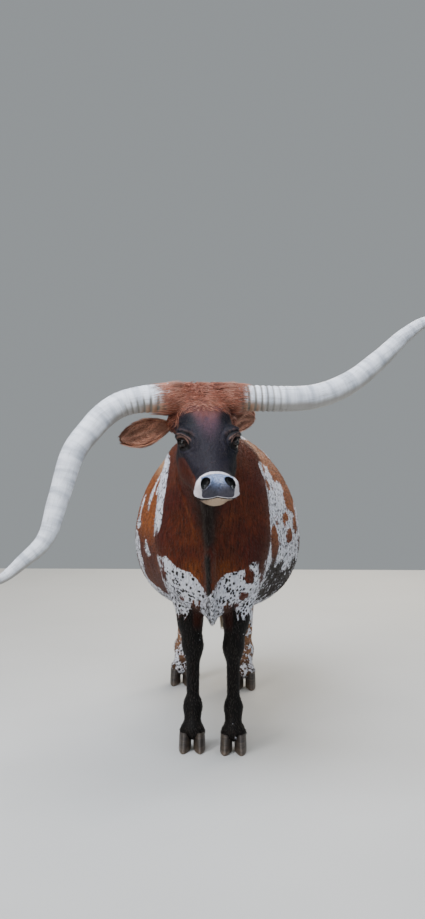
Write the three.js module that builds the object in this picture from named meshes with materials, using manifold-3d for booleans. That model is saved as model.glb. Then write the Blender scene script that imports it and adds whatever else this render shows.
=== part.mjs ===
// A life-size longhorn cow, standing square and looking at the viewer.
// Millimetres, +Z up. The animal faces -Y, so its left side is at +X.
// The flesh is one smooth body, described by named sizes as a field that is negative inside.
// Each named piece of flesh is a loft: rays leave an axis and stop where the flesh ends.
import * as THREE from 'three';
import { mergeVertices } from 'three/addons/utils/BufferGeometryUtils.js';
import Module from 'manifold-3d';

const wasm = await Module();
wasm.setup();

// Driving sizes of the whole animal
const GAP = 0.3; // between touching pieces
const CLEAR = 0.7; // that a neighbour is grown by before a facetted piece is cut clear of it
const FLESH_CENTRE = [58.7, 286.4, 0]; // middle of the finished animal's footprint, moved to the origin
const SIDES = { left: 1, right: -1 };

// Trunk: stations along Y, with the height of the back, of the widest place and of the underline
const TRUNK = [
  { at: -270, half: 150, top: 985, wide: 775, bottom: 610, upper: 2.0, lower: 2.0 },
  { at: -180, half: 185, top: 1095, wide: 785, bottom: 580, upper: 2.0, lower: 2.0 },
  { at: -60, half: 205, top: 1225, wide: 795, bottom: 560, upper: 2.0, lower: 2.1 },
  { at: 60, half: 218, top: 1292, wide: 800, bottom: 558, upper: 1.9, lower: 2.2 },
  { at: 200, half: 245, top: 1293, wide: 800, bottom: 545, upper: 1.9, lower: 2.2 },
  { at: 380, half: 298, top: 1264, wide: 790, bottom: 502, upper: 1.9, lower: 2.2 },
  { at: 560, half: 347, top: 1248, wide: 775, bottom: 462, upper: 1.9, lower: 2.3 },
  { at: 740, half: 371, top: 1243, wide: 768, bottom: 447, upper: 1.85, lower: 2.3 },
  { at: 900, half: 350, top: 1240, wide: 782, bottom: 482, upper: 1.8, lower: 2.2 },
  { at: 1030, half: 262, top: 1236, wide: 850, bottom: 600, upper: 1.8, lower: 2.0 },
  { at: 1150, half: 196, top: 1222, wide: 930, bottom: 715, upper: 1.8, lower: 2.0 },
  { at: 1285, half: 150, top: 1180, wide: 980, bottom: 800, upper: 1.9, lower: 2.0 },
];
const TRUNK_END_ROUNDING = 190;

// Neck: its axis runs from the chest to the back of the skull, stations along that axis
const NECK_BASE = [0, 20, 960];
const NECK_HEAD = [-33, -376, 1380];
const NECK = [
  { at: 40, half: 176, top: 255, wide: 0, bottom: -235, upper: 1.9, lower: 1.9 },
  { at: 200, half: 150, top: 240, wide: 0, bottom: -228, upper: 1.9, lower: 1.9 },
  { at: 350, half: 118, top: 186, wide: 0, bottom: -198, upper: 2.0, lower: 1.9 },
  { at: 480, half: 98, top: 132, wide: 0, bottom: -168, upper: 2.0, lower: 2.0 },
  { at: 585, half: 90, top: 98, wide: 0, bottom: -150, upper: 2.0, lower: 2.0 },
];
const NECK_END_ROUNDING = 60;
const FILLET = { neck: 130, head: 46, leg: 60, dewlap: 40, dewlapLinks: 14 }; // where bodies of flesh meet

// Head: its own frame has side (to the animal's left), face (out of the forehead) and
// muzzle (down the face); the stations run down the face
const HEAD_ORIGIN = [-30, -420, 1420];
const HEAD_YAW = 10.8; // degrees, nose turned to the animal's left
const HEAD_PITCH = 43.5; // degrees between the face and the vertical
const HEAD_ROLL = 0.8; // degrees, left side raised
const HEAD = [
  { at: -58, half: 74, top: 16, wide: -34, bottom: -88, upper: 2.2, lower: 2.0 },
  { at: -28, half: 90, top: 32, wide: -34, bottom: -108, upper: 2.4, lower: 2.0 },
  { at: 20, half: 99, top: 44, wide: -36, bottom: -126, upper: 2.6, lower: 2.0 },
  { at: 80, half: 101, top: 50, wide: -36, bottom: -138, upper: 2.8, lower: 2.0 },
  { at: 140, half: 101, top: 52, wide: -38, bottom: -150, upper: 3.0, lower: 2.1 },
  { at: 198, half: 97, top: 50, wide: -44, bottom: -156, upper: 2.9, lower: 2.2 },
  { at: 245, half: 90, top: 48, wide: -50, bottom: -146, upper: 2.4, lower: 2.2 },
  { at: 298, half: 80, top: 46, wide: -46, bottom: -122, upper: 2.1, lower: 2.2 },
  { at: 350, half: 69, top: 47, wide: -26, bottom: -94, upper: 2.2, lower: 2.2 },
  { at: 388, half: 71, top: 50, wide: -12, bottom: -76, upper: 2.4, lower: 2.3 },
  { at: 418, half: 76, top: 49, wide: -4, bottom: -64, upper: 2.4, lower: 2.4 },
  { at: 450, half: 71, top: 37, wide: -4, bottom: -50, upper: 2.4, lower: 2.4 },
];
const HEAD_END_ROUNDING = 46;
const HORN_SOCKET = 128; // from the middle of the skull to where horn begins, under the hair
// Forms blended into the skull on both sides, each with the width of its fillet
const HEAD_FORMS = {
  poll: { at: [0, -4, -40], radii: [84, 44, 40], fillet: 40 },
  hornBoss: { from: [40, 8, -12], to: [HORN_SOCKET + 6, 11, -10], radii: [42, 44], fillet: 34 },
  brow: { at: [91, 16, 172], radii: [30, 32, 40], fillet: 24 },
  cheek: { at: [74, -86, 215], radii: [34, 60, 84], fillet: 34 },
  crest: { from: [86, -10, 218], to: [58, -4, 312], radii: [20, 14], fillet: 26 },
  jaw: { from: [60, -122, 236], to: [34, -62, 385], radii: [27, 20], fillet: 30 },
  noseWing: { at: [47, 32, 415], radii: [31, 27, 33], fillet: 20 },
  upperLip: { at: [42, 4, 432], radii: [36, 25, 28], fillet: 20 },
  chin: { at: [0, -40, 414], radii: [42, 24, 34], fillet: 20 },
  earRoot: { at: [92, -62, 42], radii: [34, 36, 40], fillet: 30 },
};
const EYE_HOLLOW = { at: [113, 25, 211], radii: [24, 24, 31], fillet: 12 };
// The point under the throat that the rings of the head fan round, and how far out its axis runs
const THROAT_PIVOT = { face: -205, muzzle: 240, swing: [-14, 90], depth: [235, 172], rings: 15 };

// Eyes, in the head's frame; the lids are rings round the opening, sunk into the face
const EYE = { side: 91, face: 5, muzzle: 197, radius: 19.5 };
const EYE_GAZE = [0.68, 0.6, 0.42];
// The way along the lids' slit: nearly level, with the face as steep as it is held
const EYE_SLIT = [0, 0.6, 0.8];
const LID = {
  halfLength: 20.5, halfHeight: 14, thickness: 6, spread: 8.5, sunk: 2.5, lift: 1.5, steps: 15, sides: 6,
};

// Nostrils and mouth, in the head's frame; the wing is the slit at each nostril's outer side
const NOSTRIL = { side: 43.5, face: 50, muzzle: 415, length: 23, height: 14, depth: 18, lean: 0.5 };
const NOSTRIL_WING = { side: 9, face: -9, muzzle: 8, share: 0.75 };
const MOUTH = {
  cornerMuzzle: 346, frontMuzzle: 458, cornerFace: -40, frontFace: 9, width: 3.4, middle: 370, spread: 60,
};

// Ears: length, root and tip in the head's frame, and the way the hollow side looks
const EAR = { width: 112, wall: 5, rootCurl: 2.5, tipCurl: 0.5, sag: 14, rows: 11, columns: 7 };
const EAR_POSE = {
  right: { length: 208, root: [-108, -66, 50], tip: [-330, -116, 84], hollow: [-0.12, 0.9, 0.42] },
  left: { length: 186, root: [104, -66, 36], tip: [240, -174, -66], hollow: [0.72, 0.1, 0.7] },
};

// Horns: points on the middle line from the skull to the tip
const HORN_LINES = {
  right: [
    [-148, -437, 1439], [-258, -462, 1434], [-330, -478, 1415], [-388, -503, 1378],
    [-440, -540, 1320], [-490, -585, 1250], [-540, -655, 1082], [-581, -720, 945],
    [-656, -768, 870], [-732, -795, 812], [-864, -812, 776],
  ],
  left: [
    [92, -401, 1435], [148, -393, 1436], [250, -378, 1434], [355, -350, 1436],
    [452, -312, 1457], [546, -266, 1503], [646, -215, 1581], [743, -160, 1668],
    [828, -112, 1722], [981, -44, 1757],
  ],
};
const HORN = { baseRadius: 48, tipRadius: 2.2, taper: 2.4, fullness: 0.8, steps: 13, sides: 12 };
const HORN_RIDGES = { count: 9, reach: 0.2, height: 1.6 };
const HORN_FLARE = { right: 9, left: 0, reach: 0.15 }; // how much thicker each root is, fading along the horn

// Forelegs: elbow, forearm, knee, cannon, fetlock and foot of the left leg; the right is mirrored
const FORE = {
  elbow: [128, 48, 705], forearm: [94, 10, 520], knee: [83, -6, 418], cannonTop: [83, 2, 375],
  fetlock: [85, 6, 168], foot: [86, -36, 82],
};
const HIND = {
  thigh: [150, 1050, 900], stifle: [176, 930, 700], gaskin: [160, 1116, 560], calf: [150, 1186, 684],
  hock: [156, 1206, 482], hockPoint: [155, 1246, 528], cannonTop: [156, 1200, 430], fetlock: [158, 1176, 170],
  foot: [158, 1138, 84], thighAxis: [158, 1050, 730],
};
// Forms blended into the barrel on both sides, each with the width of its fillet
const TRUNK_FORMS = {
  shoulderBlade: { from: [104, 30, 1150], to: [132, -92, 890], radii: [76, 84], fillet: 70 },
  upperArm: { at: [138, -96, 812], radii: [66, 124, 118], fillet: 60 },
  hookBone: { at: [186, 900, 1090], radii: [42, 62, 40], fillet: 60 },
  thigh: { at: HIND.thigh, radii: [112, 182, 250], fillet: 80 },
  hamstring: { from: [92, 1208, 1050], to: [146, 1196, 690], radii: [74, 58], slim: 0.8, fillet: 60 },
  stifle: { at: [182, 925, 730], radii: [78, 92, 124], fillet: 70 },
  pinBone: { at: [84, 1240, 1104], radii: [40, 50, 46], fillet: 50 },
};
// Where each foot stands away from the mirrored place: across and along
const STEP = {
  fore_left: [-3, -8], fore_right: [2, 14], hind_left: [-38, -46], hind_right: [-26, 34],
};
const LEG_FILLET = 26;
const LEG_CLEARANCE = { fore: 26, hind: 62 }; // of each leg from the animal's middle plane
const CORONET = 74; // height where the flesh of the foot gives way to horn
const LEG_CUTS = { fore: { joint: 418, fetlock: 166 }, hind: { joint: 470, fetlock: 166 } };
// Heights of the rings that a leg's flesh is lofted through
const LEG_LEVELS = {
  fore: [
    CORONET, 92, 112, 130, 148, 166, 186, 210, 260, 320, 358, 384, 402, 420, 440, 462, 490, 530,
    580, 630, 680,
  ],
  hind: [
    CORONET, 92, 112, 132, 150, 168, 188, 214, 270, 340, 400, 434, 460, 484, 508, 532, 560, 600,
    640, 690, 730,
  ],
};

const CLAW = { spread: 27, ahead: 4, toeOut: 0.08, sides: 12 };
// Each level of a claw: height, how far the toe and the heel reach, and half its width
const CLAW_LEVELS = [
  { z: 0, toe: 84, heel: 34, half: 22 }, { z: 5, toe: 87, heel: 38, half: 25.5 },
  { z: 30, toe: 71, heel: 42, half: 25.5 }, { z: 52, toe: 57, heel: 42, half: 25 },
  { z: CORONET - GAP, toe: 45, heel: 37, half: 24 },
];
const DEWCLAW = { radius: 12, spread: 20, root: [0, 4, 130], tip: [6, 47, 102], taper: 0.62 };

// Dewlap: the middle line of the fold from the throat to the brisket
const DEWLAP_LINE = [
  [-22, -394, 1130], [-16, -374, 1050], [-8, -346, 940], [-3, -320, 820], [0, -280, 706],
  [0, -205, 612], [0, -120, 578], [0, -20, 566],
];
const DEWLAP_DEPTH = [34, 46, 52, 56, 58, 52, 44, 26];
const DEWLAP_SLIMNESS = 0.34;

const UDDER = { at: [0, 985, 560], radii: [96, 128, 100], teatLength: 52, teatRadius: 12 };
const TEATS = [[46, -44], [-46, -44], [42, 40], [-42, 40]]; // across and along from the udder's middle

// Tail: middle line from the sacrum down; the switch of long hair hangs from its end
const TAIL_LINE = [
  [0, 1180, 1160], [0, 1258, 1158], [0, 1312, 1108], [2, 1338, 1010], [5, 1350, 870],
  [9, 1352, 720], [12, 1346, 575],
];
const TAIL = { rootRadius: 36, endRadius: 12, stops: 15, sides: 9 };
const SWITCH = { top: 610, coreEnd: 400, tip: 215, coreRadius: 17, locks: 13, width: 12, thickness: 6.5 };

// Crown hair: rows of locks that part to both sides, and a short fringe over the forehead
const POLL_HAIR = {
  axisFace: -6, axisMuzzle: -8, rows: 6, perRow: 4, from: -24, to: 168, length: 116, width: 20,
  thickness: 6.5, reach: 182, base: 2, sink: 4, loft: 12,
};
const FRINGE = {
  locks: 6, gap: 21, face: -20, from: 0, length: 38, width: 17, thickness: 5, sink: 4, loft: 8,
};

const COLOUR = {
  coat: 0x7a3b22, face: 0x2c2024, poll: 0x8a4a2e, dark: 0x1b1513, white: 0xd9d2c8,
  horn: 0xcfc8bb, hoof: 0x3a332d, eye: 0x120d0b, pink: 0xa9857a,
};

// Number helpers
const clamp = THREE.MathUtils.clamp;
const vec = (p) => new THREE.Vector3(...p);
const radians = THREE.MathUtils.degToRad;
const TURN = Math.PI * 2;

/** Repeatable random numbers between low and high. */
function draws(seed) {
  let state = seed;
  return (low, high) => {
    state = (Math.imul(state, 1664525) + 1013904223) >>> 0;
    return low + (high - low) * (state / 4294967296);
  };
}

/** A smooth curve through one named size of the stations. */
function track(stations, key) {
  const at = stations.map((s) => s.at);
  const value = stations.map((s) => s[key]);
  const end = at.length - 1;
  const slope = at.map((_, i) => {
    const lo = Math.max(i - 1, 0);
    const hi = Math.min(i + 1, end);
    return (value[hi] - value[lo]) / (at[hi] - at[lo]);
  });
  return (t) => {
    if (t <= at[0]) return value[0];
    if (t >= at[end]) return value[end];
    let i = 1;
    while (at[i] < t) i++;
    const step = at[i] - at[i - 1];
    const u = (t - at[i - 1]) / step;
    const v = 1 - u;
    return value[i - 1] * v * v * (1 + 2 * u) + value[i] * u * u * (3 - 2 * u)
      + step * u * v * (slope[i - 1] * v - slope[i] * u);
  };
}

// Fields: each is a function of x, y, z that is negative inside

/** Joins two distances with a fillet about as wide as the given size. */
function softMin(a, b, width) {
  const h = Math.max(width - Math.abs(a - b), 0) / width;
  return Math.min(a, b) - h * h * width * 0.25;
}

const softMax = (a, b, width) => -softMin(-a, -b, width);

/** Joins several fields in turn. */
function blend(width, ...fields) {
  return (x, y, z) => {
    let d = fields[0](x, y, z);
    for (let i = 1; i < fields.length; i++) d = softMin(d, fields[i](x, y, z), width);
    return d;
  };
}

/** A body with superelliptic sections: across, up and along are its own axes. */
function sectionBody(stations, endRounding) {
  const [half, top, wide, bottom, upper, lower] = ['half', 'top', 'wide', 'bottom', 'upper', 'lower']
    .map((key) => track(stations, key));
  const first = stations[0].at;
  const last = stations[stations.length - 1].at;
  return (across, up, along) => {
    const t = clamp(along, first, last);
    const q = up - wide(t);
    const reach = q > 0 ? top(t) - wide(t) : wide(t) - bottom(t);
    const power = q > 0 ? upper(t) : lower(t);
    const ratio = Math.pow(Math.abs(across) / half(t), power) + Math.pow(Math.abs(q) / reach, power);
    const g = Math.max(Math.pow(ratio, 1 / power), 0.05);
    const radial = Math.max(Math.hypot(across, q), 1) * (1 - 1 / g);
    return softMax(radial, Math.max(along - last, first - along), endRounding);
  };
}

function ellipsoid([cx, cy, cz], [rx, ry, rz]) {
  return (x, y, z) => {
    const [dx, dy, dz] = [(x - cx) / rx, (y - cy) / ry, (z - cz) / rz];
    const k0 = Math.max(Math.hypot(dx, dy, dz), 0.01);
    const k1 = Math.max(Math.hypot(dx / rx, dy / ry, dz / rz), 1e-5);
    return k0 * (k0 - 1) / k1;
  };
}

/** A tapered rod with round ends; slim below 1 makes it narrower across X. */
function limb(from, to, fromRadius, toRadius, slim = 1) {
  const a = [from[0] / slim, from[1], from[2]];
  const ab = [to[0] / slim - a[0], to[1] - a[1], to[2] - a[2]];
  const length = ab[0] ** 2 + ab[1] ** 2 + ab[2] ** 2;
  return (x, y, z) => {
    const p = [x / slim - a[0], y - a[1], z - a[2]];
    const t = clamp((p[0] * ab[0] + p[1] * ab[1] + p[2] * ab[2]) / length, 0, 1);
    const gap = Math.hypot(p[0] - ab[0] * t, p[1] - ab[1] * t, p[2] - ab[2] * t);
    return (gap - fromRadius - (toRadius - fromRadius) * t) * Math.min(slim, 1);
  };
}

/** An upright frame: origin, and three unit axes. */
function makeFrame(origin, across, up, along) {
  return { origin: vec(origin), across, up, along };
}

/** The place in the world of a point given in a frame. */
function place(frame, [across, up, along]) {
  return frame.origin.clone().addScaledVector(frame.across, across)
    .addScaledVector(frame.up, up).addScaledVector(frame.along, along);
}

/** A direction in the world, given in a frame. */
function direct(frame, [across, up, along]) {
  return new THREE.Vector3().addScaledVector(frame.across, across)
    .addScaledVector(frame.up, up).addScaledVector(frame.along, along).normalize();
}

/** Lets a field that is written in a frame's own axes be read in the world. */
function inFrame(frame, field) {
  const { origin: o, across: a, up: u, along: l } = frame;
  return (x, y, z) => {
    const [dx, dy, dz] = [x - o.x, y - o.y, z - o.z];
    return field(
      dx * a.x + dy * a.y + dz * a.z, dx * u.x + dy * u.y + dz * u.z, dx * l.x + dy * l.y + dz * l.z,
    );
  };
}

/** The head's frame: yaw about the vertical, then pitch of the face, then roll about the forehead. */
function headFrame() {
  const [yaw, pitch, roll] = [HEAD_YAW, HEAD_PITCH, HEAD_ROLL].map(radians);
  const forward = new THREE.Vector3(Math.sin(yaw), -Math.cos(yaw), 0);
  const level = new THREE.Vector3(Math.cos(yaw), Math.sin(yaw), 0);
  const muzzle = forward.clone().multiplyScalar(Math.sin(pitch));
  muzzle.z = -Math.cos(pitch);
  const face = forward.clone().multiplyScalar(Math.cos(pitch));
  face.z = Math.sin(pitch);
  const across = level.clone().multiplyScalar(Math.cos(roll)).addScaledVector(muzzle, -Math.sin(roll));
  const along = muzzle.clone().multiplyScalar(Math.cos(roll)).addScaledVector(level, Math.sin(roll));
  return makeFrame(HEAD_ORIGIN, across, face, along);
}

/** The neck's frame: along is from the chest to the skull and up is towards the nape. */
function neckFrame() {
  const along = vec(NECK_HEAD).sub(vec(NECK_BASE)).normalize();
  const across = new THREE.Vector3(1, 0, 0).addScaledVector(along, -along.x).normalize();
  const up = new THREE.Vector3().crossVectors(across, along).negate();
  return makeFrame(NECK_BASE, across, up.z > 0 ? up : up.negate(), along);
}

const head = headFrame();
const neck = neckFrame();

/** The field of one named form: a ball, or a rod between two places. */
function formField({ at, radii, from, to, slim }) {
  return at ? ellipsoid(at, radii) : limb(from, to, radii[0], radii[1], slim);
}

/** Blends named forms into a field, each with its own fillet. */
function withForms(field, forms) {
  const parts = Object.values(forms).map((form) => [formField(form), form.fillet]);
  return (x, y, z) => parts.reduce((d, [part, fillet]) => softMin(d, part(x, y, z), fillet), field(x, y, z));
}

/** Skull, cheeks, brows, jaw, nose and lips, in the head's own frame. */
function headField() {
  const flesh = withForms(sectionBody(HEAD, HEAD_END_ROUNDING), HEAD_FORMS);
  const hollow = formField(EYE_HOLLOW);
  return (side, face, muzzle) => {
    const s = Math.abs(side);
    return softMax(flesh(s, face, muzzle), -hollow(s, face, muzzle), EYE_HOLLOW.fillet);
  };
}

/** Barrel, shoulders, hips and thighs of both sides. */
function trunkField() {
  const barrel = sectionBody(TRUNK, TRUNK_END_ROUNDING);
  const flesh = withForms((x, y, z) => barrel(x, z, y), TRUNK_FORMS);
  return (x, y, z) => flesh(Math.abs(x), y, z);
}

/** Moves a joint of the mirrored leg to where that leg stands; the step fades out up the leg. */
function stand(leg, [x, y, z]) {
  const side = leg.endsWith('left') ? 1 : -1;
  const planted = clamp((760 - z) / 680, 0, 1);
  return [side * x + STEP[leg][0] * planted, y + STEP[leg][1] * planted, z];
}

/** The soft foot over the claws. */
function footPad([x, y, z]) {
  return ellipsoid([x, y - 6, z - 6], [52, 43, 30]);
}

/** A foreleg from the elbow down; each form is a joint or a length with its radii. */
function foreLegField(leg) {
  const j = Object.fromEntries(Object.entries(FORE).map(([k, p]) => [k, stand(leg, p)]));
  return blend(
    LEG_FILLET,
    limb(j.elbow, j.forearm, 84, 55, 0.84),
    limb(j.forearm, j.knee, 54, 39, 0.92),
    ellipsoid(j.knee, [41, 42, 54]),
    limb(j.cannonTop, j.fetlock, 30, 27, 0.96),
    ellipsoid(j.fetlock, [34, 37, 36]),
    limb(j.fetlock, j.foot, 31, 38),
    footPad(j.foot),
  );
}

/** A hind leg from the stifle down. */
function hindLegField(leg) {
  const j = Object.fromEntries(Object.entries(HIND).map(([k, p]) => [k, stand(leg, p)]));
  return blend(
    LEG_FILLET,
    limb(j.stifle, j.gaskin, 106, 66, 0.78),
    limb(j.gaskin, j.hock, 64, 44, 0.8),
    ellipsoid(j.hock, [38, 50, 58]),
    limb(j.hockPoint, [j.hock[0], j.hock[1] + 22, j.hock[2] - 34], 23, 26, 0.9),
    limb(j.calf, j.hockPoint, 56, 18, 0.66),
    limb(j.cannonTop, j.fetlock, 36, 31, 0.86),
    ellipsoid(j.fetlock, [36, 40, 38]),
    limb(j.fetlock, j.foot, 32, 38),
    footPad(j.foot),
  );
}

const trunk = trunkField();
const neckFlesh = inFrame(neck, sectionBody(NECK, NECK_END_ROUNDING));
const headFlesh = inFrame(head, headField());
const body = (x, y, z) => {
  const front = softMin(trunk(x, y, z), neckFlesh(x, y, z), FILLET.neck);
  return softMin(front, headFlesh(x, y, z), FILLET.head);
};
const LEGS = Object.keys(STEP);
const legFlesh = Object.fromEntries(
  LEGS.map((leg) => [leg, leg.startsWith('fore') ? foreLegField(leg) : hindLegField(leg)]),
);
const dewlapFold = (() => {
  const parts = DEWLAP_LINE.slice(1).map(
    (p, i) => limb(DEWLAP_LINE[i], p, DEWLAP_DEPTH[i], DEWLAP_DEPTH[i + 1], DEWLAP_SLIMNESS),
  );
  return blend(FILLET.dewlapLinks, ...parts);
})();

// Meshes

/** A closed mesh from rings of points, with a point before the first ring and after the last. */
function ringMesh(rings, start, end) {
  const count = rings[0].length;
  const points = [start, ...rings.flat(), end];
  const index = [];
  const at = (ring, k) => 1 + ring * count + (k % count);
  for (let k = 0; k < count; k++) index.push(0, at(0, k + 1), at(0, k));
  for (let r = 0; r + 1 < rings.length; r++) {
    for (let k = 0; k < count; k++) {
      index.push(at(r, k), at(r, k + 1), at(r + 1, k + 1), at(r, k), at(r + 1, k + 1), at(r + 1, k));
    }
  }
  const last = points.length - 1;
  for (let k = 0; k < count; k++) index.push(last, at(rings.length - 1, k), at(rings.length - 1, k + 1));
  const geometry = new THREE.BufferGeometry();
  const flat = points.flatMap((p) => [p.x, p.y, p.z]);
  geometry.setAttribute('position', new THREE.Float32BufferAttribute(flat, 3));
  geometry.setIndex(index);
  return geometry;
}

/** A manifold solid of a closed geometry, turned the right way out. */
function solid(geometry) {
  const bare = geometry.clone();
  bare.deleteAttribute('normal');
  bare.deleteAttribute('uv');
  const merged = mergeVertices(bare, 1e-3);
  const build = (triangles) => new wasm.Manifold(new wasm.Mesh({
    numProp: 3, vertProperties: new Float32Array(merged.attributes.position.array), triVerts: triangles,
  }));
  const triangles = new Uint32Array(merged.index.array);
  const made = build(triangles);
  if (made.volume() > 0) return made;
  return build(triangles.slice().reverse());
}

/** The mean of a ring's points. */
function middleOf(ring) {
  return ring.reduce((sum, p) => sum.add(p), new THREE.Vector3()).divideScalar(ring.length);
}

/** The largest closed piece of a solid. */
function largest(shape) {
  return shape.decompose().sort((a, b) => b.volume() - a.volume())[0];
}

/** A geometry of a solid. */
function geometryOf(shape) {
  const mesh = shape.getMesh();
  const geometry = new THREE.BufferGeometry();
  geometry.setAttribute('position', new THREE.BufferAttribute(new Float32Array(mesh.vertProperties), 3));
  geometry.setIndex(new THREE.BufferAttribute(new Uint32Array(mesh.triVerts), 1));
  return geometry;
}

/** A large block on the side of a plane that the normal points to, for cutting. */
function beyond(point, normal, size = 3000) {
  const block = new THREE.BoxGeometry(size, size, size);
  block.applyQuaternion(new THREE.Quaternion().setFromUnitVectors(new THREE.Vector3(0, 0, 1), normal));
  const middle = point.clone().addScaledVector(normal, size / 2);
  return solid(block.translate(middle.x, middle.y, middle.z));
}

/** Distance along a ray to the first place where the field reaches a level. */
function shoot(field, from, way, level, reach) {
  const value = (r) => field(from.x + way.x * r, from.y + way.y * r, from.z + way.z * r) - level;
  const steps = 40;
  let near = 0;
  for (let i = 1; i <= steps; i++) {
    let far = (reach * i) / steps;
    if (value(far) > 0) {
      for (let pass = 0; pass < 14; pass++) {
        const mid = (near + far) / 2;
        if (value(mid) > 0) far = mid;
        else near = mid;
      }
      return (near + far) / 2;
    }
    near = far;
  }
  return reach;
}

/**
 * A loft through a field. Each ring has a centre, two axes across and one along, and a tilt
 * that leans its rays along the axis, so that the last rings round off an end.
 */
function loft(field, rings, angles, options) {
  const { level = 0, reach = 600, startPole = false, endPole = false, within = null } = options;
  const outline = rings.map(({ centre, a, b, along, tilt = 0 }) => angles.map((angle) => {
    const way = new THREE.Vector3().addScaledVector(a, Math.cos(angle) * Math.cos(tilt))
      .addScaledVector(b, Math.sin(angle) * Math.cos(tilt)).addScaledVector(along, Math.sin(tilt));
    const far = within ? shoot(within.field, centre, way, within.level + level, reach) : reach;
    return centre.clone().addScaledVector(way, shoot(field, centre, way, level, far));
  }));
  const pole = (ring, sign, open) => {
    if (open) return ring.centre.clone();
    const way = ring.along.clone().multiplyScalar(sign);
    return ring.centre.clone().addScaledVector(way, shoot(field, ring.centre, way, level, reach));
  };
  return solid(ringMesh(
    outline, pole(rings[0], -1, !startPole), pole(rings[rings.length - 1], 1, !endPole),
  ));
}

/** Angles round a ring, drawn together towards the direction at minus a quarter turn. */
function spreadAngles(count, pull = 0) {
  return Array.from({ length: count }, (_, i) => {
    const t = (TURN * i) / count;
    return t - Math.PI / 2 - pull * Math.sin(t);
  });
}

/** Rings along a straight axis, with tilted rings at either closed end. */
function axisRings(from, to, stops, a, b, { startTilts = [], endTilts = [] } = {}) {
  const along = to.clone().sub(from).normalize();
  const at = (t) => from.clone().lerp(to, t);
  return [
    ...startTilts.map((deg) => ({ centre: at(stops[0]), a, b, along, tilt: -radians(deg) })),
    ...stops.map((t) => ({ centre: at(t), a, b, along })),
    ...endTilts.map((deg) => ({ centre: at(stops[stops.length - 1]), a, b, along, tilt: radians(deg) })),
  ];
}

const evenly = (count, from = 0, to = 1) => Array.from(
  { length: count }, (_, i) => THREE.MathUtils.lerp(from, to, i / (count - 1)),
);

/** A tube along a line of points, ringed at the stops; radius is a function of the way along. */
function tube(line, radius, stops, sides) {
  const curve = new THREE.CatmullRomCurve3(line.map((p) => (p.isVector3 ? p : vec(p))), false, 'centripetal');
  const start = curve.getTangentAt(0);
  let normal = Math.abs(start.z) < 0.9 ? new THREE.Vector3(0, 0, 1) : new THREE.Vector3(0, 1, 0);
  const rings = stops.map((t) => {
    const tangent = curve.getTangentAt(t);
    normal = normal.clone().addScaledVector(tangent, -normal.dot(tangent)).normalize();
    const side = new THREE.Vector3().crossVectors(tangent, normal);
    return Array.from({ length: sides }, (_, k) => {
      const angle = (TURN * k) / sides;
      return curve.getPointAt(t).addScaledVector(normal, Math.cos(angle) * radius(t))
        .addScaledVector(side, Math.sin(angle) * radius(t));
    });
  });
  return solid(ringMesh(rings, curve.getPointAt(0), curve.getPointAt(stops[stops.length - 1])));
}

// Planes that part the neck from the trunk and from the head, and the hair cap from the skull
const X = new THREE.Vector3(1, 0, 0);
const Y = new THREE.Vector3(0, 1, 0);
const Z = new THREE.Vector3(0, 0, 1);
const neckBasePlane = { point: vec([0, -160, 1100]), normal: vec([0, -0.819, 0.573]).normalize() };
const neckHeadPlane = { point: place(head, [0, -111, 0]), normal: direct(head, [0, 0.944, 0.329]) };
const pollPlane = { point: place(head, [0, 36, 0]), normal: direct(head, [0, 0.5, -0.866]) };

const socketPlane = (side) => ({
  point: place(head, [side * HORN_SOCKET, 0, 0]), normal: head.across.clone().multiplyScalar(side),
});

/** Parts a solid at a plane and keeps one side, half a gap clear of it. */
function keepBeyond(shape, plane, sign) {
  const normal = plane.normal.clone().multiplyScalar(sign);
  return shape.intersect(beyond(plane.point.clone().addScaledVector(normal, GAP / 2), normal));
}

/** The whole trunk before it is parted, grown by a level where a neighbour is cut clear of it. */
function trunkLoft(level) {
  const [from, to] = [vec([0, -190, 790]), vec([0, 1130, 900])];
  const rings = axisRings(from, to, evenly(16), X, Z, {
    startTilts: [62, 31], endTilts: [16, 32, 48, 64, 80],
  });
  return loft(body, rings, spreadAngles(32, 0.12), { level, startPole: true, endPole: true });
}

const trunkSolid = (level) => keepBeyond(trunkLoft(level), neckBasePlane, -1);

function neckLoft(level) {
  const [from, to] = [place(neck, [0, 0, 110]), place(neck, [0, 0, 640])];
  const rings = axisRings(from, to, evenly(11), neck.across, neck.up);
  return loft(body, rings, spreadAngles(28, 0.2), { level, reach: 420 });
}

function neckSolid(level) {
  return keepBeyond(keepBeyond(neckLoft(level), neckBasePlane, 1), neckHeadPlane, -1);
}

/** The bare skull and face: rings fan round the throat from the nape, then run down the face. */
function headLoft(level) {
  const { face, muzzle, swing, depth, rings: count } = THROAT_PIVOT;
  const fan = evenly(count, swing[0], swing[1]).map((degrees) => {
    const turn = radians(degrees);
    const b = direct(head, [0, Math.sin(turn), -Math.cos(turn)]);
    const along = direct(head, [0, Math.cos(turn), Math.sin(turn)]);
    const out = THREE.MathUtils.mapLinear(degrees, swing[0], swing[1], depth[0], depth[1]);
    return { centre: place(head, [0, face, muzzle]).addScaledVector(b, out), a: head.across, b, along };
  });
  const stops = [262, 292, 322, 350, 375, 397, 415, 432];
  const axis = (d) => THREE.MathUtils.mapLinear(d, muzzle, stops[stops.length - 1], face + depth[1], -14);
  const ring = (d, tilt = 0) => ({
    centre: place(head, [0, axis(d), d]), a: head.across, b: head.up, along: head.along, tilt: radians(tilt),
  });
  const down = stops.map((d) => ring(d));
  const round = [18, 37, 56, 75].map((tilt) => ring(stops[stops.length - 1], tilt));
  return loft(body, [...fan, ...down, ...round], spreadAngles(32), { level, reach: 420, endPole: true });
}

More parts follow.
